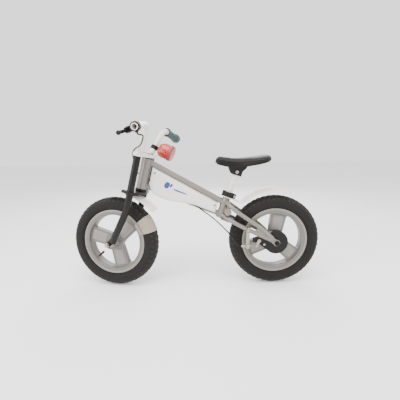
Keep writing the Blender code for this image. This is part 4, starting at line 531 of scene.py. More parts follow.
def swept(path, radius, sides, reference, ends=True, section=None):
    """A round or shaped section carried along a path; reference is a direction the path never follows."""
    path = np.asarray(path, float)
    tangent = np.gradient(path, axis=0)
    tangent /= np.linalg.norm(tangent, axis=1, keepdims=True)
    across = np.cross(tangent, np.asarray(reference, float))
    across /= np.linalg.norm(across, axis=1, keepdims=True)
    up = np.cross(across, tangent)
    turn = np.linspace(0.0, math.tau, sides, endpoint=False)
    shape = np.stack([np.cos(turn), np.sin(turn)], -1) if section is None else np.asarray(section, float)
    reach = np.broadcast_to(np.asarray(radius, float).reshape(-1, 1, 1), (len(path), 1, 1))
    rings = path[:, None, :] + reach * (shape[None, :, :1] * across[:, None, :] + shape[None, :,
                                                                                        1:] * up[:, None,
                                                                                                 :])
    if ends:
        rings = np.concatenate([
            np.broadcast_to(path[:1, None, :], (1, len(shape), 3)), rings,
            np.broadcast_to(path[-1:, None, :], (1, len(shape), 3))])
    return rings.reshape(-1, 3), grid_faces(len(rings), len(shape), False, True)


def arc_corner(before, corner, after, radius, count):
    """The round bend at a corner: points swung from one straight run to the next about the bend's centre."""
    back = (before - corner) / np.linalg.norm(before - corner)
    ahead = (after - corner) / np.linalg.norm(after - corner)
    half = math.acos(float(np.clip(back @ ahead, -1.0, 1.0))) / 2
    reach = min(radius / math.tan(half), np.linalg.norm(before - corner) * 0.45,
                np.linalg.norm(after - corner) * 0.45)
    middle = back + ahead
    centre = corner + middle / np.linalg.norm(middle) * (reach / math.cos(half))
    start, end = corner + back * reach - centre, corner + ahead * reach - centre
    spread = math.acos(float(np.clip(start @ end / (np.linalg.norm(start) * np.linalg.norm(end)), -1.0, 1.0)))
    share = np.linspace(0.0, 1.0, count)[:, None]
    return centre + (start * np.sin((1 - share) * spread) + end * np.sin(share * spread)) / math.sin(spread)


def pipe(path, outer, inner, sides, reference):
    """An open pipe: an outer and an inner skin along the path, joined by a flat ring at each end."""
    skin, _ = swept(path, outer, sides, reference, ends=False)
    bore, _ = swept(path, inner, sides, reference, ends=False)
    skin, bore = skin.reshape(-1, sides, 3), bore.reshape(-1, sides, 3)
    rings = np.concatenate([skin, bore[::-1]])
    return rings.reshape(-1, 3), grid_faces(len(rings), sides, True, True)


for side, label in ((-1.0, "left"), (1.0, "right")):
    mirror = np.array([1.0, side, 1.0])
    base, corner, end = (np.array(point) * mirror for point in (BAR_BASE, BAR_CORNER, BAR_END))
    foot = base + np.array([0.0, 0.0, 0.007])
    bends = [arc_corner(base, foot, corner, 0.03, 5), arc_corner(foot, corner, end, 0.03, 20)]
    route = np.vstack([base, bends[0], bends[1], bends[1][-1] + (end - bends[1][-1]) * 0.5, end])
    bar = make_piece(f"bar_{label}", "fork", "white_paint", white_paint,
                     *pipe(on_steering(route), BAR_RADIUS, BAR_BORE, 32, STEER_AXES[0]))
    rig.replaces(bar, f"handlebar_{label}")

# The right grip: soft teal rubber pulled over the bar, with a collar at its inner end, fine ribs under the
# fingers and a flared, rounded outer end.
TEAL = tone(14, 54, 56)
teal_rubber = finish("teal_rubber", TEAL, tone(12, 44, 46), tone(34, 74, 74), 0.62, broad=30.0, fine=700.0,
                     specks=120.0, speck_size=0.10, bump=0.18, sheen=0.2)


def grip_profile():
    """Radius against distance along the bar: collar, ribbed hand part, flare and a rounded end."""
    along = np.linspace(-0.0876, 0.0060, 240)
    radius = np.interp(along, [-0.0876, -0.0840, -0.0820, -0.0310, -0.0130, 0.0002, 0.0060],
                       [0.0157, 0.0157, 0.0132, 0.0132, 0.0167, 0.0167, 0.0128])
    ribs = 0.00035 * (1.0 + np.sin(along * math.tau / 0.0042))
    hand = (along > -0.0815) & (along < -0.0150)
    ends = np.clip((along - 0.0002) / 0.0058, 0.0, 1.0)
    radius = radius - ribs * hand
    radius = np.where(along > 0.0002, 0.0167 * np.sqrt(np.clip(1.0 - (ends * 0.78) ** 2, 0.0, 1.0)), radius)
    skin = np.stack([radius, along], -1)
    return np.vstack([[(0.0099, -0.0876)], skin, [(0.0, 0.0062)]])


bar_way = (np.array(BAR_END) - np.array(BAR_CORNER)) @ STEER_AXES
bar_way /= np.linalg.norm(bar_way)
grip_skin = np.vstack([[(0.0, 0.0009), (0.0099, 0.0009)], grip_profile()])
grip = make_piece("grip_sleeve", "fork", "teal_rubber", teal_rubber,
                  *turned(grip_skin, 48, on_steering(BAR_END), bar_way), sharp=50.0)
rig.replaces(grip, "grip_right")

# Black moulded plastic: the brake lever's bracket and blade, the bell's clamp, the seat collar and the
# saddle's pan. It has a fine even grain, a soft shine, and pale scuffs on its corners.
black_plastic = finish("black_plastic", tone(19, 18, 18), tone(25, 24, 23), tone(54, 52, 49), 0.44,
                       broad=26.0,
                       fine=1100.0, specks=110.0, speck_size=0.09, bump=0.12, shine=0.16)
for part in ("brake_lever_bracket", "brake_lever_blade", "bell_clamp", "seat_collar", "saddle_base"):
    softened(part, "black_plastic", black_plastic, 0.0006, 3)

# The bell: an orange-red plastic cup on the right bar with a ribbed twist cap of the same plastic, a small
# screw in its middle and a flick lever on its lower near side. The cap is painted darker than the cup, as painted
# shade.
BELL_AXIS = np.array([math.cos(math.radians(-8.0)), 0.0, math.sin(math.radians(-8.0))]) @ STEER_AXES
BELL_CENTRE = on_steering((0.0125, 0.0530, 0.1400))
orange_plastic = finish("orange_plastic", tone(178, 40, 16), tone(160, 32, 12), tone(112, 22, 10), 0.30,
                        coat=0.5,
                        broad=24.0, fine=600.0, specks=90.0, speck_size=0.09, bump=0.03)
# The cup's plastic again, made darker: painted shade on the twist cap.
orange_cap_painted_shade = finish("orange_cap_painted_shade", tone(142, 26, 12), tone(124, 22, 10), tone(86, 16, 8), 0.36, coat=0.4,
                    broad=24.0, fine=600.0, specks=90.0, speck_size=0.09, bump=0.04)
share = np.linspace(0.0, 1.0, 30)
CUP_STATIONS = (0.0, 0.10, 0.30, 0.55, 0.78, 1.0)
CUP_RADII = (0.0, 0.0125, 0.0205, 0.0253, 0.0268, 0.0269)
CUP_HEIGHTS = (0.0, 0.0, 0.0040, 0.0150, 0.0270, 0.0399)
cup_skin = np.stack([np.interp(share, CUP_STATIONS, CUP_RADII),
                     np.interp(share, CUP_STATIONS, CUP_HEIGHTS)], -1)
cup_skin[:, 0] += 0.0004 * np.sin(math.pi * share) ** 2
cup_wall = cup_skin[::-1] * np.array([0.92, 1.0]) + np.array([0.0, 0.0022]) * (1 - share[::-1, None])
cup = make_piece("bell_cup", "fork", "orange_plastic", orange_plastic,
                 *turned(np.vstack([cup_skin, cup_wall]), 64, BELL_CENTRE, BELL_AXIS))
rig.replaces(cup, "bell_body")


def ribbed_cap(steps, ribs):
    """A shallow, gently crowned cap whose rim waves in and out, ribs times round."""
    turn = np.linspace(0.0, math.tau, steps, endpoint=False)[:, None]
    skin = np.array([(0.0250, 0.0403), (0.0274, 0.0403), (0.0275, 0.0420), (0.0275, 0.0480), (0.0268, 0.0505),
                     (0.0252, 0.0522), (0.0215, 0.0530), (0.0130, 0.0536), (0.0060, 0.0538), (0.0, 0.0539)])
    under = np.array([(0.0, 0.0515), (0.0240, 0.0480), (0.0250, 0.0420)])
    profile = np.vstack([skin, under])
    rim = np.array([0, 1, 1, 1, 0.6, 0.2, 0, 0, 0, 0, 0, 0, 0])
    radius = profile[None, :, 0] - 0.0006 * rim[None, :] * (0.5 + 0.5 * np.cos(turn * ribs))
    points = BELL_CENTRE + ways_round(BELL_AXIS, turn) * radius[..., None] + BELL_AXIS * profile[None, :, 1:]
    return points.reshape(-1, 3), grid_faces(steps, len(profile), True, True)


# The twist cap takes the darker copy of the plastic: painted shade.
cap = make_piece("bell_twist_cap", "fork", "orange_plastic", orange_cap_painted_shade, *ribbed_cap(288, 36), sharp=45.0)
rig.replaces(cap, "bell_cap")
softened("bell_lever", "orange_plastic", orange_plastic, 0.0005, 3)
screw_profile = [(0.0, 0.0530), (0.0030, 0.0530), (0.0030, 0.0542), (0.0022, 0.0549), (0.0, 0.0551)]
make_piece("bell_screw", "fork", "zinc_steel", zinc_plate, *turned(screw_profile, 20, BELL_CENTRE, BELL_AXIS))

# Tyres: black rubber, 54 mm wide, with square blocks in staggered rows, two fine rings on each side wall
# and a bead held by the rim's flange. The raised tops of the blocks are coloured a paler grey.
tyre_rubber = finish("tyre_rubber", tone(22, 21, 19), tone(30, 28, 26), tone(58, 54, 49), 0.78,
                     broad=22.0, fine=900.0,
                     specks=60.0, speck_size=0.12, bump=0.25, sheen=0.04, shine=0.16)
TYRE_SECTION = np.array([
    (0.1046, 0.0166), (0.1090, 0.0166), (0.1131, 0.0167), (0.1150, 0.0205), (0.1185, 0.0240),
    (0.1240, 0.0262),
    (0.1300, 0.0269), (0.1360, 0.0264), (0.1410, 0.0248), (0.1455, 0.0218), (0.1495, 0.0174),
    (0.1525, 0.0120),
    (0.1540, 0.0062), (0.1545, 0.0)])
TYRE_STEPS = 468
TYRE_COLUMNS = 73
TREAD_BLOCKS = 52
TREAD_ROWS = (  # shift round the tyre, filled share, place across, half width, softness
    (0.0, 0.72, 0.0, 0.0052, 0.0010), (0.5, 0.66, 0.0118, 0.0048, 0.0010),
    (0.0, 0.62, 0.0232, 0.0050, 0.0012))
TYRE_INSIDE = np.array([
    (0.1046, -0.0122), (0.1200, -0.0212), (0.1360, -0.0215), (0.1500, -0.0090), (0.1505, 0.0090),
    (0.1360, 0.0215), (0.1200, 0.0212), (0.1046, 0.0122)])


def bump_train(value, filled, soft):
    """Repeating flat-topped blocks: 1 on the filled share of each unit, 0 between, with soft edges."""
    offset = np.abs(np.mod(value, 1.0) - 0.5)
    return np.clip((filled / 2 - offset) / soft + 0.5, 0.0, 1.0)


def even_curve(points, count):
    """A smooth curve through points, at even steps: a cubic whose slope at each is its neighbours' slope."""
    points = np.asarray(points, float)
    ends = np.vstack([2 * points[0] - points[1], points, 2 * points[-1] - points[-2]])
    share = np.linspace(0.0, 1.0, 40, endpoint=False)[None, :, None]
    a, b, c, d = (ends[k:len(ends) - 3 + k][:, None, :] for k in range(4))
    dense = 0.5 * (2 * b + (c - a) * share + (2 * a - 5 * b + 4 * c - d) * share**2
                   + (3 * b - a - 3 * c + d) * share**3)
    dense = np.vstack([dense.reshape(-1, points.shape[1]), points[-1]])
    along = np.concatenate([[0.0], np.cumsum(np.linalg.norm(np.diff(dense, axis=0), axis=1))])
    wanted = np.linspace(0.0, along[-1], count)
    return np.stack([np.interp(wanted, along, column) for column in dense.T], -1)


def attribute_tint(material, attribute, colour, low=0.0, high=1.0):
    """Lays one more colour over a finish where a point attribute of the piece is high."""
    tree = material.node_tree
    shader = tree.nodes["Principled BSDF"]
    under = shader.inputs["Base Color"].links[0].from_socket
    mask = add_node(tree, "ShaderNodeAttribute", attribute_name=attribute)
    spread = add_node(tree, "ShaderNodeMapRange")
    spread.inputs["From Min"].default_value = low
    spread.inputs["From Max"].default_value = high
    over = add_node(tree, "ShaderNodeMix", data_type="RGBA", label=attribute)
    over.inputs["B"].default_value = (*colour, 1.0)
    tree.links.new(mask.outputs["Fac"], spread.inputs["Value"])
    tree.links.new(spread.outputs["Result"], over.inputs["Factor"])
    tree.links.new(under, over.inputs["A"])
    tree.links.new(over.outputs["Result"], shader.inputs["Base Color"])
    return material


def off_section(section, core):
    """Unit directions square to a section's line, all pointing away from its core radius."""
    slope = np.gradient(section, axis=0)
    normal = np.stack([-slope[:, 1], slope[:, 0]], -1)
    normal /= np.maximum(np.linalg.norm(normal, axis=1, keepdims=True), 1e-9)
    inward = normal[:, :1] * (section[:, :1] - core) + normal[:, 1:] * section[:, 1:] < 0
    return normal * np.where(inward, -1.0, 1.0)


def tyre_skin(centre, axis):
    """The outer skin from bead to bead: the section's radius, raised by tread blocks and side rings."""
    half = even_curve(TYRE_SECTION, (TYRE_COLUMNS + 1) // 2)
    section = np.vstack([half, half[-2::-1] * np.array([1.0, -1.0])])
    turn = np.linspace(0.0, math.tau, TYRE_STEPS, endpoint=False)[:, None]
    radius, wide = section[None, :, 0], section[None, :, 1]
    reach = np.abs(np.sign(wide)) * np.arccos(np.clip((radius - 0.1310) / 0.0240, -1.0, 1.0)) * 0.0235
    around = turn * TREAD_BLOCKS / math.tau
    blocks = 0.0
    for offset, filled, place, half_row, soft in TREAD_ROWS:
        row = np.clip((half_row - np.abs(reach - place)) / soft + 0.5, 0, 1)
        blocks = blocks + bump_train(around + offset, filled, 0.10) * row
    blocks = np.clip(blocks, 0.0, 1.0)
    rings = np.exp(-((radius - 0.1212) / 0.0006) ** 2) + np.exp(-((radius - 0.1165) / 0.0005) ** 2)
    ribs = 0.35 * np.clip((radius - 0.1300) / 0.0040, 0, 1) * np.clip((0.1440 - radius) / 0.0030, 0, 1)
    lift = 0.0014 * blocks - 0.0006 + 0.00045 * rings + 0.00045 * ribs * np.sin(turn * 156.0)
    lift = lift * np.clip((radius - 0.1140) / 0.0020, 0.0, 1.0)
    normal = off_section(section, 0.125)
    radius = np.minimum(radius + lift * normal[None, :, 0], 0.1556)
    wide = wide + lift * normal[None, :, 1]
    plain = np.broadcast_to(TYRE_INSIDE[None], (TYRE_STEPS, len(TYRE_INSIDE), 2))
    radius = np.concatenate([radius, plain[..., 0]], 1)
    wide = np.concatenate([np.broadcast_to(wide, (TYRE_STEPS, TYRE_COLUMNS)), plain[..., 1]], 1)
    points = centre + ways_round(axis, turn) * radius[..., None] + np.asarray(axis) * wide[..., None]
    # This mask is high on the raised tops of the tread blocks and 0 elsewhere. It sets where the tyre is coloured
    # paler.
    worn = np.concatenate([blocks, np.zeros((TYRE_STEPS, len(TYRE_INSIDE)))], 1)
    return points, worn


# A paler grey laid on the raised tops of the tread blocks, where the block mask is high.
attribute_tint(tyre_rubber, "block_top_tint", tone(38, 35, 32), 0.2, 1.6)
for wheel, centre in (("front", FRONT_CENTRE), ("rear", REAR_CENTRE)):
    skin, worn = tyre_skin(centre, WHEEL_AXES[wheel])
    tyre = make_piece(f"{wheel}_tread_tyre", f"{wheel}_wheel", "tyre_rubber", tyre_rubber, skin,
                      grid_faces(*skin.shape[:2], True, True), sharp=60.0,
                      attributes={"block_top_tint": worn}.items())
    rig.replaces(tyre, f"{wheel}_tyre")

# Inner tubes: plain black butyl, hidden but for the valve, which stands in through the rim and wears a
# small cap.
tube_rubber = finish("tube_rubber", tone(34, 33, 32), tone(44, 42, 41), tone(70, 68, 65), 0.6, bump=0.1,
                     shine=0.16)
VALVE_ANGLES = {"front": math.radians(220), "rear": math.radians(140)}
VALVE_CAP_SKIN = [(0.0, 0.0800), (0.0038, 0.0800), (0.0042, 0.0775), (0.0042, 0.0690), (0.0034, 0.0672),
                  (0.0, 0.0668)]
for wheel, centre in (("front", FRONT_CENTRE), ("rear", REAR_CENTRE)):
    softened(f"{wheel}_inner_tube", "tube_rubber", tube_rubber, 0.0)
    spin = VALVE_ANGLES[wheel]
    way = np.array([math.cos(spin), 0.0, math.sin(spin)])
    if wheel == "front":
        way = np.array([math.cos(HEAD_ANGLE) * way[0] - math.sin(HEAD_ANGLE) * way[2], 0.0,
                        math.sin(HEAD_ANGLE) * way[0] + math.cos(HEAD_ANGLE) * way[2]]) @ STEER_AXES
    make_piece(f"{wheel}_valve_cap", f"{wheel}_wheel", "black_plastic", black_plastic,
               *turned(VALVE_CAP_SKIN, 20, centre, way))

# Rims: moulded grey plastic, each with three broad spokes. A raised ring runs round the flange and a shallow
# raised panel with soft edges runs down both faces of every spoke. The ring and the panels take a paler copy of the
# rim's finish as a painted highlight, and the rim with the step inside the ring keeps the darker grey.
rim_plastic = finish("rim_plastic", tone(101, 97, 90), tone(88, 84, 78), tone(56, 52, 47), 0.40, coat=0.15,
                     broad=20.0, fine=700.0, specks=46.0, speck_size=0.10, bump=0.06)
# The same grey plastic made paler: a painted highlight for the raised flange rings and spoke panels.
rim_pale = finish("rim_pale", tone(124, 120, 113), tone(110, 106, 99), tone(72, 68, 62), 0.36, coat=0.2,
                  broad=20.0, fine=700.0, specks=46.0, speck_size=0.10, bump=0.05)
SPOKE_ANGLES = {"front": 45.0, "rear": 80.0}
SPOKE_ROOT, SPOKE_TIP = 0.027, 0.0915  # the raised panel's ends, from the axle
PANEL_ROWS, PANEL_COLUMNS = 36, 21


def wheel_axes(wheel):
    """The wheel's own X and Z in the row frame: the plane its spokes are drawn in."""
    if wheel == "rear":
        return np.array([1.0, 0.0, 0.0]), np.array([0.0, 0.0, 1.0])
    tilt = -HEAD_ANGLE
    ahead = np.array([math.cos(tilt), 0.0, -math.sin(tilt)]) @ STEER_AXES
    up = np.array([math.sin(tilt), 0.0, math.cos(tilt)]) @ STEER_AXES
    return ahead, up


def joined(*parts):
    """Several (points, faces) shapes as one."""
    counts = np.cumsum([0] + [len(points) for points, _ in parts[:-1]])
    points = np.concatenate([points for points, _ in parts])
    faces = [face for (_, own), count in zip(parts, counts) for face in (np.asarray(own) + count).tolist()]
    return points, faces


def eased(share):
    """0 to 1 with a soft start and end: three squares less two cubes."""
    share = np.clip(share, 0.0, 1.0)
    return share * share * (3 - 2 * share)


def spoke_panel(angle, side, rows=PANEL_ROWS, columns=PANEL_COLUMNS):
    """A raised panel down a spoke: a flat-topped bump that falls to the face at its edges."""
    out = np.linspace(SPOKE_ROOT, SPOKE_TIP, rows)[:, None]
    share = np.linspace(-1.0, 1.0, columns)[None, :]
    half = 0.5 * (0.044 + (0.053 - 0.044) * out / 0.0936) - 0.0050
    half = np.minimum(half, 0.0150 + (out - SPOKE_ROOT) * 0.55)
    long = eased(np.minimum(out - SPOKE_ROOT, SPOKE_TIP - out) / 0.0080)
    wide = eased((1.0 - np.abs(share)) / 0.36)
    height = 0.0034 * long * wide - 0.0008
    flat = np.stack(np.broadcast_arrays(out * math.cos(angle) - share * half * math.sin(angle),
                                        side * (0.0100 + height),
                                        out * math.sin(angle) + share * half * math.cos(angle)), -1)
    back = flat.copy()
    back[..., 1] = side * 0.0085
    both = np.concatenate([flat, back[::-1]])
    return both.reshape(-1, 3), grid_faces(2 * rows, columns, True)


def closed_sides(rows, columns):
    """The two long edges that close a folded grid of front and back rows into a solid."""
    index = np.arange(rows - 1)
    strips = []
    for edge in (0, columns - 1):
        near, far = index, 2 * rows - 1 - index
        strips.append(np.stack([near * columns + edge, (near + 1) * columns + edge,
                                (far - 1) * columns + edge, far * columns + edge], -1))
    return np.concatenate(strips)


for wheel, centre in (("front", FRONT_CENTRE), ("rear", REAR_CENTRE)):
    softened(f"{wheel}_rim", "rim_plastic", rim_plastic, 0.0008, 3)
    ahead, up = wheel_axes(wheel)
    basis = np.array([ahead, WHEEL_AXES[wheel], up])
    panels = []
    for index in range(3):
        for side in (-1.0, 1.0):
            angle = math.radians(SPOKE_ANGLES[wheel] + 120.0 * index)
            points, faces = spoke_panel(angle, side)
            panels.append((points @ basis + centre, np.concatenate([faces,
                                                                    closed_sides(PANEL_ROWS,
                                                                                 PANEL_COLUMNS)])))
    points, faces = joined(*panels)
    # The spoke panels take the paler copy: a painted highlight down each spoke.
    make_piece(f"{wheel}_spoke_panels", f"{wheel}_wheel", "rim_plastic", rim_pale, points, faces, sharp=50.0)
    lips = []
    for side in (-1.0, 1.0):
        bead = np.linspace(0.0, math.tau, 12, endpoint=False)
        section = np.stack([0.1086 + 0.0037 * np.cos(bead), side * 0.0196 + 0.0013 * np.sin(bead)], -1)
        lips.append(turned(section, 128, centre, WHEEL_AXES[wheel], closed=True))
    points, faces = joined(*lips)
    # The flange rings take the paler copy too: a painted highlight round the flange.
    make_piece(f"{wheel}_rim_rings", f"{wheel}_wheel", "rim_plastic", rim_pale, points, faces)

# The cable: a black casing 4.4 mm thick from the lever, over the head tube, through the left side panel and
# back to the brake. It bends between the fork and the frame when the bars turn.
cable_skin = finish("cable_skin", tone(18, 17, 17), tone(24, 23, 22), tone(48, 46, 44), 0.38, coat=0.08,
                    broad=40.0,
                    fine=900.0, specks=120.0, bump=0.06, shine=0.16)
CABLE_RADIUS = 0.0022
CABLE_POINTS = (
    (-0.4201, -0.1649, 0.5134), (-0.4187, -0.1646, 0.5097), (-0.4105, -0.1400, 0.5060),
    (-0.4190, -0.1150, 0.4900),
    (-0.4330, -0.0850, 0.4790), (-0.4520, -0.0570, 0.4715), (-0.4650, -0.0340, 0.4570),
    (-0.4680, -0.0150, 0.4330),
    (-0.4740, 0.0020, 0.4090), (-0.4640, 0.0210, 0.3900), (-0.4440, 0.0285, 0.3760),
    (-0.4240, 0.0200, 0.3650),
    (-0.4000, 0.0090, 0.3525), (-0.3700, 0.0000, 0.3400), (-0.3400, -0.0070, 0.3270),
    (-0.3080, -0.0118, 0.3090),
    (-0.2780, -0.0133, 0.2880), (-0.2440, -0.0140, 0.2620), (-0.2120, -0.0170, 0.2380),
    (-0.1800, -0.0250, 0.2090),
    (-0.1510, -0.0340, 0.1790), (-0.1405, -0.0405, 0.1610), (-0.1310, -0.0450, 0.1500),
    (-0.1223, -0.0465, 0.1455),
    (-0.1188, -0.0465, 0.1455))
cable = make_piece("brake_cable_casing", "frame", "black_plastic", cable_skin,
                   *swept(even_curve(CABLE_POINTS, 260), CABLE_RADIUS, 16, (0.6, 0.0, 0.8)))
cable.parent = None
del cable["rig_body"]
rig.replaces(cable, "brake_cable", "brake_cable_front")
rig.blend(cable, "fork", "frame", start=(-0.4700, -0.0100, 0.4420), end=(-0.4560, 0.0250, 0.3830))

# The brake's inner wire: bright twisted steel, out of the adjuster's barrel to the clamp on the brake's
# arm. It rides on the arm, which pulls the band round the drum.
wire_path = np.linspace((-0.1010, -0.0465, 0.1455), (-0.0650, -0.0465, 0.1455), 40)
wire_turn = np.linspace(0.0, 40.0, 40)
make_piece("brake_inner_wire", "brake_arm", "zinc_steel", zinc_plate,
           *swept(wire_path, 0.0008 + 0.00008 * np.sin(wire_turn), 10, (0.0, 0.0, 1.0)))

# Mudguards: white moulded plastic, 2.4 mm thick, arched across. The front one hangs from the steerer's
# bolt; the rear one is a flat tongue with an eye round the seat tube, which opens into an arched blade over
# the tyre.
white_plastic = finish("white_plastic", tone(228, 222, 216), tone(216, 209, 200), tone(150, 138, 122),
                       0.34, coat=0.35,
                       broad=12.0, fine=800.0, specks=40.0, speck_size=0.07, bump=0.05)


def arched_strip(path, half_width, arch, wall=0.0024, columns=25):
    """Across each point of a path in the middle plane: a parabola of the arch's depth, with rounded edges."""
    path, half_width, arch = (np.asarray(value, float) for value in (path, half_width, arch))
    tangent = np.gradient(path, axis=0)
    tangent /= np.linalg.norm(tangent, axis=1, keepdims=True)
    outward = np.stack([-tangent[:, 2], np.zeros(len(path)), tangent[:, 0]], -1)
    share = np.linspace(-1.0, 1.0, columns)
    share = np.sign(share) * np.sin(np.abs(share) * math.pi / 2) ** 0.9
    rows = path[:, None, :] + half_width[:, None, None] * share[None, :, None] * np.array([0.0, 1.0, 0.0])
    rows = rows - outward[:, None, :] * (arch[:, None, None] * share[None, :, None] ** 2)
    edge = np.clip((1.0 - np.abs(share)) * half_width.max() / 0.0016, 0.0, 1.0)
    thick = wall * np.sqrt(np.clip(1.0 - (1.0 - edge) ** 2, 0.0, 1.0))
    top = rows - outward[:, None, :] * (wall - thick)[None, :, None] * 0.5
    under = rows - outward[:, None, :] * (wall + thick)[None, :, None] * 0.5
    loops = np.concatenate([top, under[:, ::-1]], axis=1)
    closed = np.concatenate([loops[:1], loops, loops[-1:]])
    for end, middle in ((0, (top[0] + under[0]) / 2), (-1, (top[-1] + under[-1]) / 2)):
        closed[end] = np.concatenate([middle, middle[::-1]])
    return closed.reshape(-1, 3), grid_faces(len(closed), 2 * columns, False, True)


def round_end(count, full, reach):
    """Half widths along a strip that draw in to a rounded end over the first and last reach shares."""
    share = np.linspace(0.0, 1.0, count)
    near = np.clip(np.minimum(share, 1.0 - share) / reach, 0.0, 1.0)
    return full * (0.42 + 0.58 * np.sqrt(1.0 - (1.0 - near) ** 2))


HUB_DROP = 0.20469  # the front hub below the steering frame's origin
HUB_AHEAD = 0.052
TYRE_RADIUS = 0.155
front_share = np.linspace(0.0, 1.0, 70)
front_angle = np.radians(108.0 - 57.0 * front_share)
front_reach = TYRE_RADIUS + 0.0185 + 0.0185 * np.sin(front_share * math.pi / 2)
front_path = np.stack([-HUB_AHEAD + np.cos(front_angle) * front_reach, np.zeros(70),
                       -HUB_DROP + np.sin(front_angle) * front_reach], -1)
points, faces = arched_strip(front_path, round_end(70, 0.029, 0.11), np.full(70, 0.011))
front_guard = make_piece("front_guard_blade", "fork", "white_plastic", white_plastic, on_steering(points),
                         faces, 60.0)
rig.replaces(front_guard, "front_mudguard")

SEAT_ACROSS = np.array([math.cos(SEAT_ANGLE), 0.0, -math.sin(SEAT_ANGLE)])
guard_eye = SEAT_TOP - SEAT_UP * 0.00875


def over_tyre(degrees, extra=0.0):
    """A point over the rear tyre, at the blade's height, by its angle up from behind the axle."""
    turn = math.radians(degrees)
    return REAR_CENTRE + np.array([math.cos(turn), 0.0, math.sin(turn)]) * (TYRE_RADIUS + 0.0305 + extra)


rear_path = even_curve([
    guard_eye - SEAT_ACROSS * 0.024, guard_eye, guard_eye + SEAT_ACROSS * 0.022, over_tyre(130.5, -0.007),
    over_tyre(118, -0.001), over_tyre(104), over_tyre(90), over_tyre(80, -0.002), over_tyre(72, -0.006)], 110)
rear_share = np.linspace(0.0, 1.0, 110)
opened = eased((rear_share - 0.22) / 0.2)
rear_half = (0.021 + 0.008 * opened) * round_end(110, 1.0, 0.07)
points, faces = arched_strip(rear_path, rear_half, 0.013 * opened)
rear_guard = make_piece("rear_guard_blade", "frame", "white_plastic", white_plastic, points, faces, 60.0)
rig.replaces(rear_guard, "rear_mudguard")

# Side panels: two white shells that meet on the bike's middle plane round the down tube. Each is flat in
# its middle and rolls over to a narrow edge; the lower edge has a belly behind the head tube.
HEAD_BACK = np.array([HEAD_UP[2], 0.0, -HEAD_UP[0]])
SEAT_BACK = np.array([SEAT_UP[2], 0.0, -SEAT_UP[0]])


def crossing(start, way, other, other_way):
    """Where two lines of the middle plane meet."""
    gap = other - start
    share = (gap[0] * other_way[2] - gap[2] * other_way[0]) / (way[0] * other_way[2] - way[2] * other_way[0])
    return start + way * share


top_unit = top_way / np.linalg.norm(top_way)
low_unit = (DOWN_TUBE_SEAT - DOWN_TUBE_HEAD) / np.linalg.norm(DOWN_TUBE_SEAT - DOWN_TUBE_HEAD)
top_edge = TOP_TUBE_HEAD - np.array([-top_unit[2], 0.0, top_unit[0]]) * 0.0115
front_edge = STEER_PLACE + HEAD_BACK * 0.026
rear_edge = SEAT_TOP - SEAT_UP * 0.085 - SEAT_BACK * 0.0222
PANEL_CORNERS = [crossing(top_edge, top_unit, front_edge, HEAD_UP),
                 crossing(top_edge, top_unit, rear_edge, SEAT_UP),
                 crossing(DOWN_TUBE_HEAD, low_unit, rear_edge, SEAT_UP),
                 crossing(DOWN_TUBE_HEAD, low_unit, front_edge, HEAD_UP)]
PANEL_LENGTH = 0.235
PANEL_HEIGHT = 0.062


def panel_surface(along, down, side, lift=0.0, inset=0.0):
    """The shell's face: between its upper and lower edge lines, as high as a table top with rolled edges."""
    along, down = np.broadcast_arrays(np.asarray(along, float), np.asarray(down, float))
    length = 0.5 + (along - 0.5) * (1.0 - 2.0 * inset / PANEL_LENGTH)
    height = 0.5 + (down - 0.5) * (1.0 - 2.0 * inset / PANEL_HEIGHT)
    upper = PANEL_CORNERS[0] + (PANEL_CORNERS[1] - PANEL_CORNERS[0]) * length[..., None]
    lower = PANEL_CORNERS[3] + (PANEL_CORNERS[2] - PANEL_CORNERS[3]) * length[..., None]
    belly = 0.019 * np.sin(math.pi * np.clip(length / 0.66, 0.0, 1.0) ** 0.6)
    lower = lower - belly[..., None] * np.array([0.0, 0.0, 1.0])
    lower = lower + HEAD_UP * 0.0117 * np.clip(1.0 - length / 0.06, 0.0, 1.0)[..., None] ** 2
    tall = np.linalg.norm(upper - lower, axis=-1)
    from_ends = np.minimum(length, 1.0 - length) * PANEL_LENGTH / 0.012
    from_edges = np.minimum(height, 1.0 - height) * tall / 0.012
    roll = np.sin(np.clip(from_ends, 0, 1) * math.pi / 2) * np.sin(np.clip(from_edges, 0, 1) * math.pi / 2)
    points = upper + (lower - upper) * height[..., None]
    points[..., 1] = side * (0.0150 + 0.0050 * roll ** 0.7 + lift)
    return points


def border(grid):
    """The points round a grid's edge, in order."""
    return np.concatenate([grid[0, :-1], grid[:-1, -1], grid[-1, :0:-1], grid[:0:-1, 0]])


def panel_shell(side, rows=96, columns=40):
    """Outer face, edge down to the middle plane, and the inner face 2.5 mm within, as one closed shell."""
    spread = 0.5 - 0.5 * np.cos(np.linspace(0.0, math.pi, rows))[:, None]
    drop = 0.5 - 0.5 * np.cos(np.linspace(0.0, math.pi, columns))[None, :]
    face = panel_surface(spread, drop, side)
    inner = panel_surface(spread, drop, side, lift=-0.0025, inset=0.0025)
    rims = [border(face), border(face), border(inner), border(inner)]
    for rim in (rims[1], rims[2]):
        rim[:, 1] = side * 0.0003
    count = len(rims[0])
    points = np.concatenate([face.reshape(-1, 3), inner.reshape(-1, 3)] + rims)
    faces = np.concatenate([
        grid_faces(rows, columns), grid_faces(rows, columns) + rows * columns,
        grid_faces(4, count, False, True) + 2 * rows * columns])
    return points, faces


def printed_patch(side, centre, reach, slant, power=2.0, rings=7, steps=56):
    """A thin rounded patch on the shell: a slanted superellipse in its own along and down."""
    turn = np.linspace(0.0, math.tau, steps, endpoint=False)[None, :]
    out = np.linspace(0.0, 1.0, rings)[:, None]
    wide = out * np.sign(np.cos(turn)) * np.abs(np.cos(turn)) ** (2.0 / power) * reach[0]
    tall = out * np.sign(np.sin(turn)) * np.abs(np.sin(turn)) ** (2.0 / power) * reach[1]
    along, down = centre[0] + wide + slant * tall, centre[1] + tall
    face = panel_surface(along, down, side, lift=0.00018)
    back = panel_surface(along, down, side, lift=-0.0003)
    loops = np.concatenate([face, back[::-1]])
    return loops.reshape(-1, 3), grid_faces(2 * rings, steps, False, True)


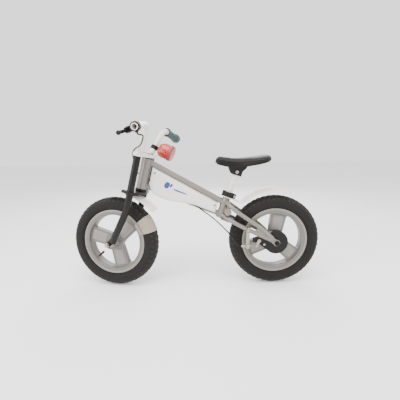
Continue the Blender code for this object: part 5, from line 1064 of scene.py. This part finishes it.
royal_blue = finish("royal_blue_print", tone(20, 36, 126), tone(28, 44, 132), tone(120, 126, 170), 0.42,
                    coat=0.3,
                    broad=60.0, fine=900.0, specks=300.0, speck_size=0.16, bump=0.03)
for side, label in ((-1.0, "left"), (1.0, "right")):
    shell = make_piece(f"{label}_panel_shell", "frame", "white_plastic", white_plastic,
                       *panel_shell(side), sharp=55.0)
    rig.replaces(shell, f"side_panel_{label}")
    marks = [printed_patch(side, (0.235, 0.36), (0.036, 0.15), -0.10, 2.4),
             printed_patch(side, (0.295, 0.30), (0.016, 0.10), -0.10),
             printed_patch(side, (0.435, 0.42), (0.105, 0.040), 0.0, 3.0)]
    points, faces = joined(*marks)
    make_piece(f"{label}_panel_stripes", "frame", "white_plastic", royal_blue, points, faces)

# The saddle: a foam pad under one piece of black artificial leather, long-nosed and wide behind, turned in
# at its lower edge over the plastic pan.
saddle_skin = finish("saddle_skin", tone(11, 10, 9), tone(17, 15, 13), tone(46, 44, 42), 0.42, broad=20.0,
                     fine=1000.0, specks=70.0, speck_size=0.08, bump=0.22, sheen=0.06, shine=0.16)
SADDLE_PLACE = np.array(JOINTS["saddle_tilt"]["pos_m"])
SADDLE_NOSE = 0.071  # the nose ahead of the tilt's pivot
SADDLE_TOP = 0.0505  # the pad's level above it
SADDLE_SCALE = np.array([0.18, 0.022, 0.061, 1.0, 1.0])  # length, the nose's and the tail's half width
SADDLE_STATIONS = np.array([  # share of the length, nose width, tail width, rise of the top, depth
    (0.000, 0.40, 0.00, -0.0165, 0.0030), (0.012, 0.56, 0.00, -0.0085, 0.0110),
    (0.030, 0.72, 0.00, -0.0030, 0.0170),
    (0.085, 0.95, 0.00, 0.0013, 0.0245), (0.194, 1.05, 0.00, -0.0010, 0.0270),
    (0.333, 1.20, 0.00, -0.0038, 0.0255),
    (0.472, 0.80, 0.28, -0.0030, 0.0275), (0.611, 0.30, 0.65, 0.0000, 0.0265),
    (0.750, 0.00, 0.93, 0.0025, 0.0245),
    (0.878, 0.00, 1.00, 0.0058, 0.0220), (0.960, 0.00, 0.82, 0.0050, 0.0175),
    (0.985, 0.00, 0.63, 0.0005, 0.0115),
    (1.000, 0.00, 0.40, -0.0085, 0.0020)])


def saddle_pad(rows=120, columns=56):
    """Sections along the saddle: a domed top, a root of the sine across, over a flat underside."""
    station = even_curve(SADDLE_STATIONS * SADDLE_SCALE, rows)
    half, top, depth = station[:, 1] + station[:, 2], SADDLE_TOP + station[:, 3], station[:, 4]
    turn = np.linspace(0.0, math.pi, columns)[None, :]
    lift = np.sin(turn) ** 0.62
    seam = np.exp(-((lift - 0.34) / 0.045) ** 2) * 0.0007
    sag = 0.0008 * np.sin(turn) ** 4 * np.clip((station[:, 0:1] - 0.06) / 0.05, 0.0, 1.0)
    across = (half[:, None] - seam) * np.cos(turn)
    height = (top - depth)[:, None] + depth[:, None] * lift - sag
    along = np.broadcast_to(station[:, :1] - SADDLE_NOSE, across.shape)
    skin = np.stack([along, across, height], -1)
    floor_share = np.linspace(1.0, -1.0, 12)[1:-1]
    under = np.stack(np.broadcast_arrays(station[:, :1] - SADDLE_NOSE, -floor_share[None, :] * half[:, None],
                                         (top - depth)[:, None]), -1)
    loops = np.concatenate([skin, under], axis=1)
    nose = np.broadcast_to(loops[:1].mean(axis=1, keepdims=True), loops[:1].shape)
    tail = np.broadcast_to(loops[-1:].mean(axis=1, keepdims=True), loops[-1:].shape)
    loops = np.concatenate([nose, loops, tail]) + SADDLE_PLACE
    return loops.reshape(-1, 3), grid_faces(len(loops), loops.shape[1], False, True)


saddle = make_piece("saddle_pad", "saddle", "saddle_skin", saddle_skin, *saddle_pad(), sharp=70.0)
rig.replaces(saddle, "saddle_cover")
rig.padded(saddle, fill=0.85)

# Small steel hardware: the steerer's domed cap on the upper crown, and a hex bolt screwed into each end of
# the lower crown.
cap_skin = [(0.0, 0.1172), (0.0148, 0.1172), (0.0150, 0.1192), (0.0138, 0.1212), (0.0095, 0.1226),
            (0.0, 0.1232)]
make_piece("steerer_cap", "fork", "zinc_steel", zinc_plate,
           *turned(cap_skin, 40, STEER_PLACE, STEER_UP))
bolt_skin = [(0.0, -0.0006), (0.0046, -0.0006), (0.0046, 0.0026), (0.0034, 0.0036), (0.0, 0.0036)]
for side, label in ((-1.0, "left"), (1.0, "right")):
    seat = on_steering((-0.0385, side * 0.059, -0.0135))
    make_piece(f"lower_crown_bolt_{label}", "fork", "zinc_steel", zinc_plate,
               *turned(bolt_skin, 6, seat, -STEER_AXES[0]), sharp=30.0)

# The paper band: one plain strip of light brown paper, wrapped over the front tyre and stuck to both its
# sides. It is a little creased.
paper = finish("plain_paper", tone(150, 139, 124), tone(134, 124, 109), tone(104, 94, 79), 0.8, broad=30.0,
               fine=500.0, specks=80.0, speck_size=0.14, bump=0.2)
BAND_MIDDLE = math.radians(27.0)
BAND_HALF = math.radians(11.0)


def paper_band(rows=40, sides=60):
    """A strip laid over the tyre from one flange to the other: the tyre's section, 2 mm out, along an arc."""
    half = even_curve(TYRE_SECTION[2:], sides // 2)
    section = np.vstack([half, half[::-1] * np.array([1.0, -1.0])])
    section = np.vstack([[(0.1010, 0.0214)], section, [(0.1010, -0.0214)]])
    normal = off_section(section, 0.120)
    turn = (BAND_MIDDLE + np.linspace(-BAND_HALF, BAND_HALF, rows))[:, None]
    crease = 0.0005 * np.sin(turn * 41.0) * np.sin(np.linspace(0.0, 9.0, len(section)))[None, :]
    ahead, up = wheel_axes("front")
    loops = []
    for out in (0.0021, 0.0017):
        radius = np.minimum(section[None, :, 0] + normal[None, :, 0] * (out + crease), 0.1572)
        wide = section[None, :, 1] + normal[None, :, 1] * (out + crease)
        ring = np.cos(turn)[..., None] * ahead + np.sin(turn)[..., None] * up
        loops.append(FRONT_CENTRE + ring * radius[..., None] + STEER_RIGHT * wide[..., None])
    points = np.concatenate([loops[0], loops[1][:, ::-1]], axis=1)
    ends = [(points[k] + points[k][::-1]) / 2 for k in (0, -1)]
    points = np.concatenate([ends[0][None], points, ends[1][None]])
    return points.reshape(-1, 3), grid_faces(len(points), points.shape[1], False, True)


make_piece("plain_paper_band", "front_wheel", "tyre_rubber", paper, *paper_band(), sharp=60.0)

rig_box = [list(corner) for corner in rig.bounds()]
with open("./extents.json", "w") as size_file:
    json.dump({"cad": cad_box, "visual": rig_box}, size_file, indent=1)
